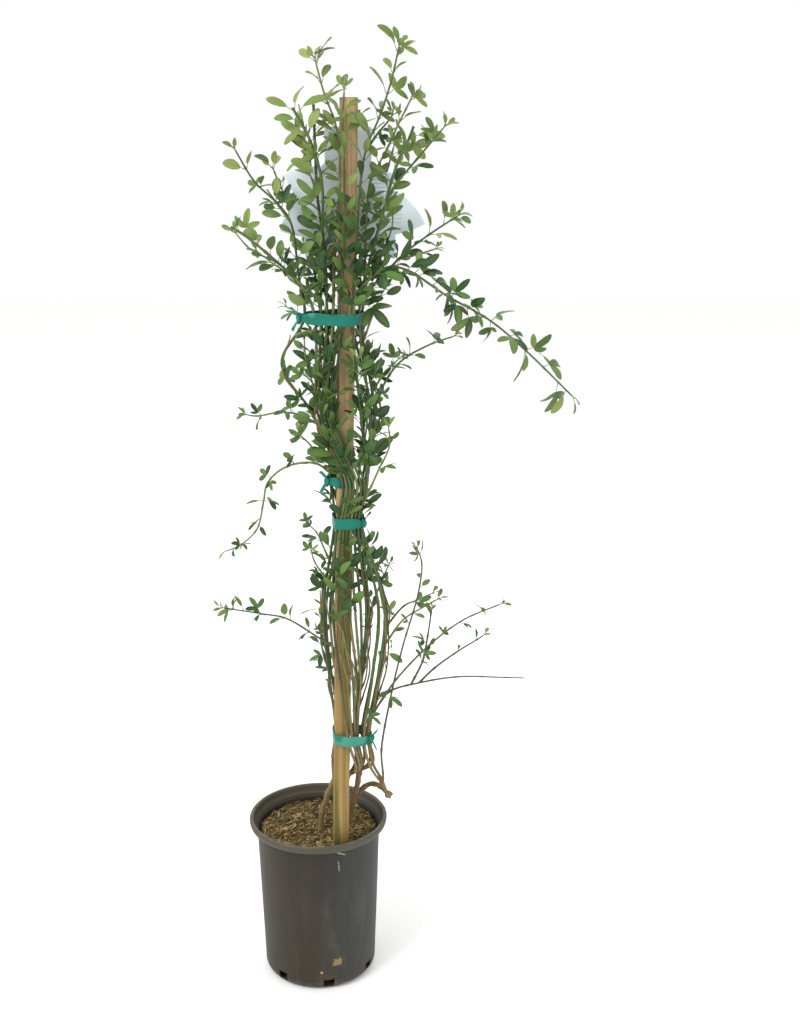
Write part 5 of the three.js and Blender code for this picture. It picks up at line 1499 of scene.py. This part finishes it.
def tail_rings(lift, roll, salt):
    """A tail: a strip that opens from the knot, sags with the square of its reach and has a wave across it."""
    t = np.linspace(0, 1, 14)[:, None]
    w = np.array([1, 0.6, 0, -0.6, -1, -0.6, 0, 0.6])
    y = w * TAIL["width"] / 2 * (0.45 + 0.55 * t ** 0.5)
    z = -TAIL["sag"] * t ** 2 + 0.7 * t * np.sin(w * 2.6 + 3 * t + salt) + SIDE * 0.28
    y, z = spun(y, z, math.radians(roll))
    x, z = spun(t * TAIL["length"] + 0 * w, z, math.radians(lift))
    return np.stack([x, y, z], -1)


def tape_finish():
    f = Finish("stretch_tape", 0.3)
    crinkle = f.noise(240.0, 4.0, (1, 1, 3.5))
    colour = f.mix(f.noise(60.0), (0, 94, 80), (0, 120, 102))
    colour = f.coat(colour, (crinkle.rise(0.55, 0.75) * 0.35, (50, 142, 120)),
                    (f.noise(21.0, 1.0).rise(0.57, 0.6) * 0.45, (84, 158, 138)))
    return f.paint(colour, 0.3 + 0.2 * crinkle, crinkle, 0.0006, 0.8)


TAPE_FINISH = tape_finish()
for salt, (name, (z, knot, groups)) in enumerate(TIES.items()):
    tie_surface(z, knot, groups, salt * 1.9).make(f"{name}_tape", TAPE_FINISH, "tape", name, 55)

# %% [markdown]
# ## Care tag
# A thin plastic flower stands behind the stake, its tongue tucked under the top tie. Its outline is the longest petal
# at each bearing. The plastic is pale blue-white and slightly wavy, and it carries plain ruled lines, nothing more.

# %% Care tag
def tag_reach(bearing):
    """Reach of the edge at each bearing in degrees: the longest of the pointed petals, or the square top petal."""
    reach = np.full(bearing.shape, float(TAG["core"]))
    for middle, length in PETALS:
        off = np.minimum(np.abs((bearing - middle + 540) % 360 - 180) / TAG["spread"], 1)
        reach = np.where(off < 1, np.maximum(reach, length * (1 - 0.4 * off ** 0.95)), reach)
    up, aside = np.sin(np.radians(bearing)), np.abs(np.cos(np.radians(bearing)))
    square = np.minimum(TAG["top_height"] / np.maximum(up, 0.01), TAG["top_half"] / np.maximum(aside, 0.01))
    return np.where(up > 0, np.maximum(reach, square), reach)


def tag_surface():
    """Rows run from the middle of the back over the edge to the middle of the front. The tongue is a flat rod."""
    share = np.array([0.1, 0.3, 0.5, 0.7, 0.85, 0.95, 0.992, 1, 0.992, 0.95, 0.85, 0.7, 0.5, 0.3, 0.1])[:, None]
    depth = np.array([1, 1, 1, 1, 1, 1, 0.8, 0, -0.8, -1, -1, -1, -1, -1, -1])[:, None] * TAG["thickness"] / 2
    bearing = np.arange(180) * 2.0
    r = share * tag_reach(bearing)
    x, z = r * np.cos(np.radians(bearing)), r * np.sin(np.radians(bearing)) + TAG["z"]
    across = (x + TAG["x"] - stake_x(z)) / math.cos(STAKE["turn"])
    wave = 1.1 * (np.abs(across) / 70) ** 2 * np.sin(z * 0.09 + np.sign(across))
    s = Surface()
    s.add_tubes(beside_stake(z, across, TAG_BACK + depth + wave)[None])
    half, thin = TAG["tongue_width"] / 2, TAG["thickness"] * 0.35
    z = np.linspace(TAG["tongue_foot"], TAG["z"], 24)[:, None]
    a = np.array([-1, -0.96, 0, 0.96, 1, 0.96, 0, -0.96])
    taper = np.clip((z - TAG["tongue_foot"]) / 6, 0.45, 1)
    s.add_tubes(beside_stake(z, a * half * taper, TAG_BACK - SIDE * thin)[None])
    return s


def tag_finish():
    f = Finish("tag_plastic", 0.5)
    x, _, z = f.place()
    cloud = f.noise(30.0)
    lines = ((z * 250).fraction() - 0.5).abs().fall(0.08, 0.16)
    block = x.rise(0.071, 0.0715) * x.fall(0.103, 0.1035) * z.rise(0.9, 0.9005) * z.fall(0.948, 0.9485)
    ends = (x - 0.09 - 0.012 * f.noise(55.0, 3.0, (0, 0, 1))).fall(0.004, 0.0045)
    colour = f.mix(cloud, (216, 229, 240), (234, 243, 250))
    colour = f.mix(lines * block * ends * 0.4, colour, (120, 132, 142))
    return f.paint(colour, 0.32 + 0.15 * cloud, cloud, 0.0004, 0.4)


tag_surface().make("flower_tag", tag_finish(), "tag", "care_tag", 50)
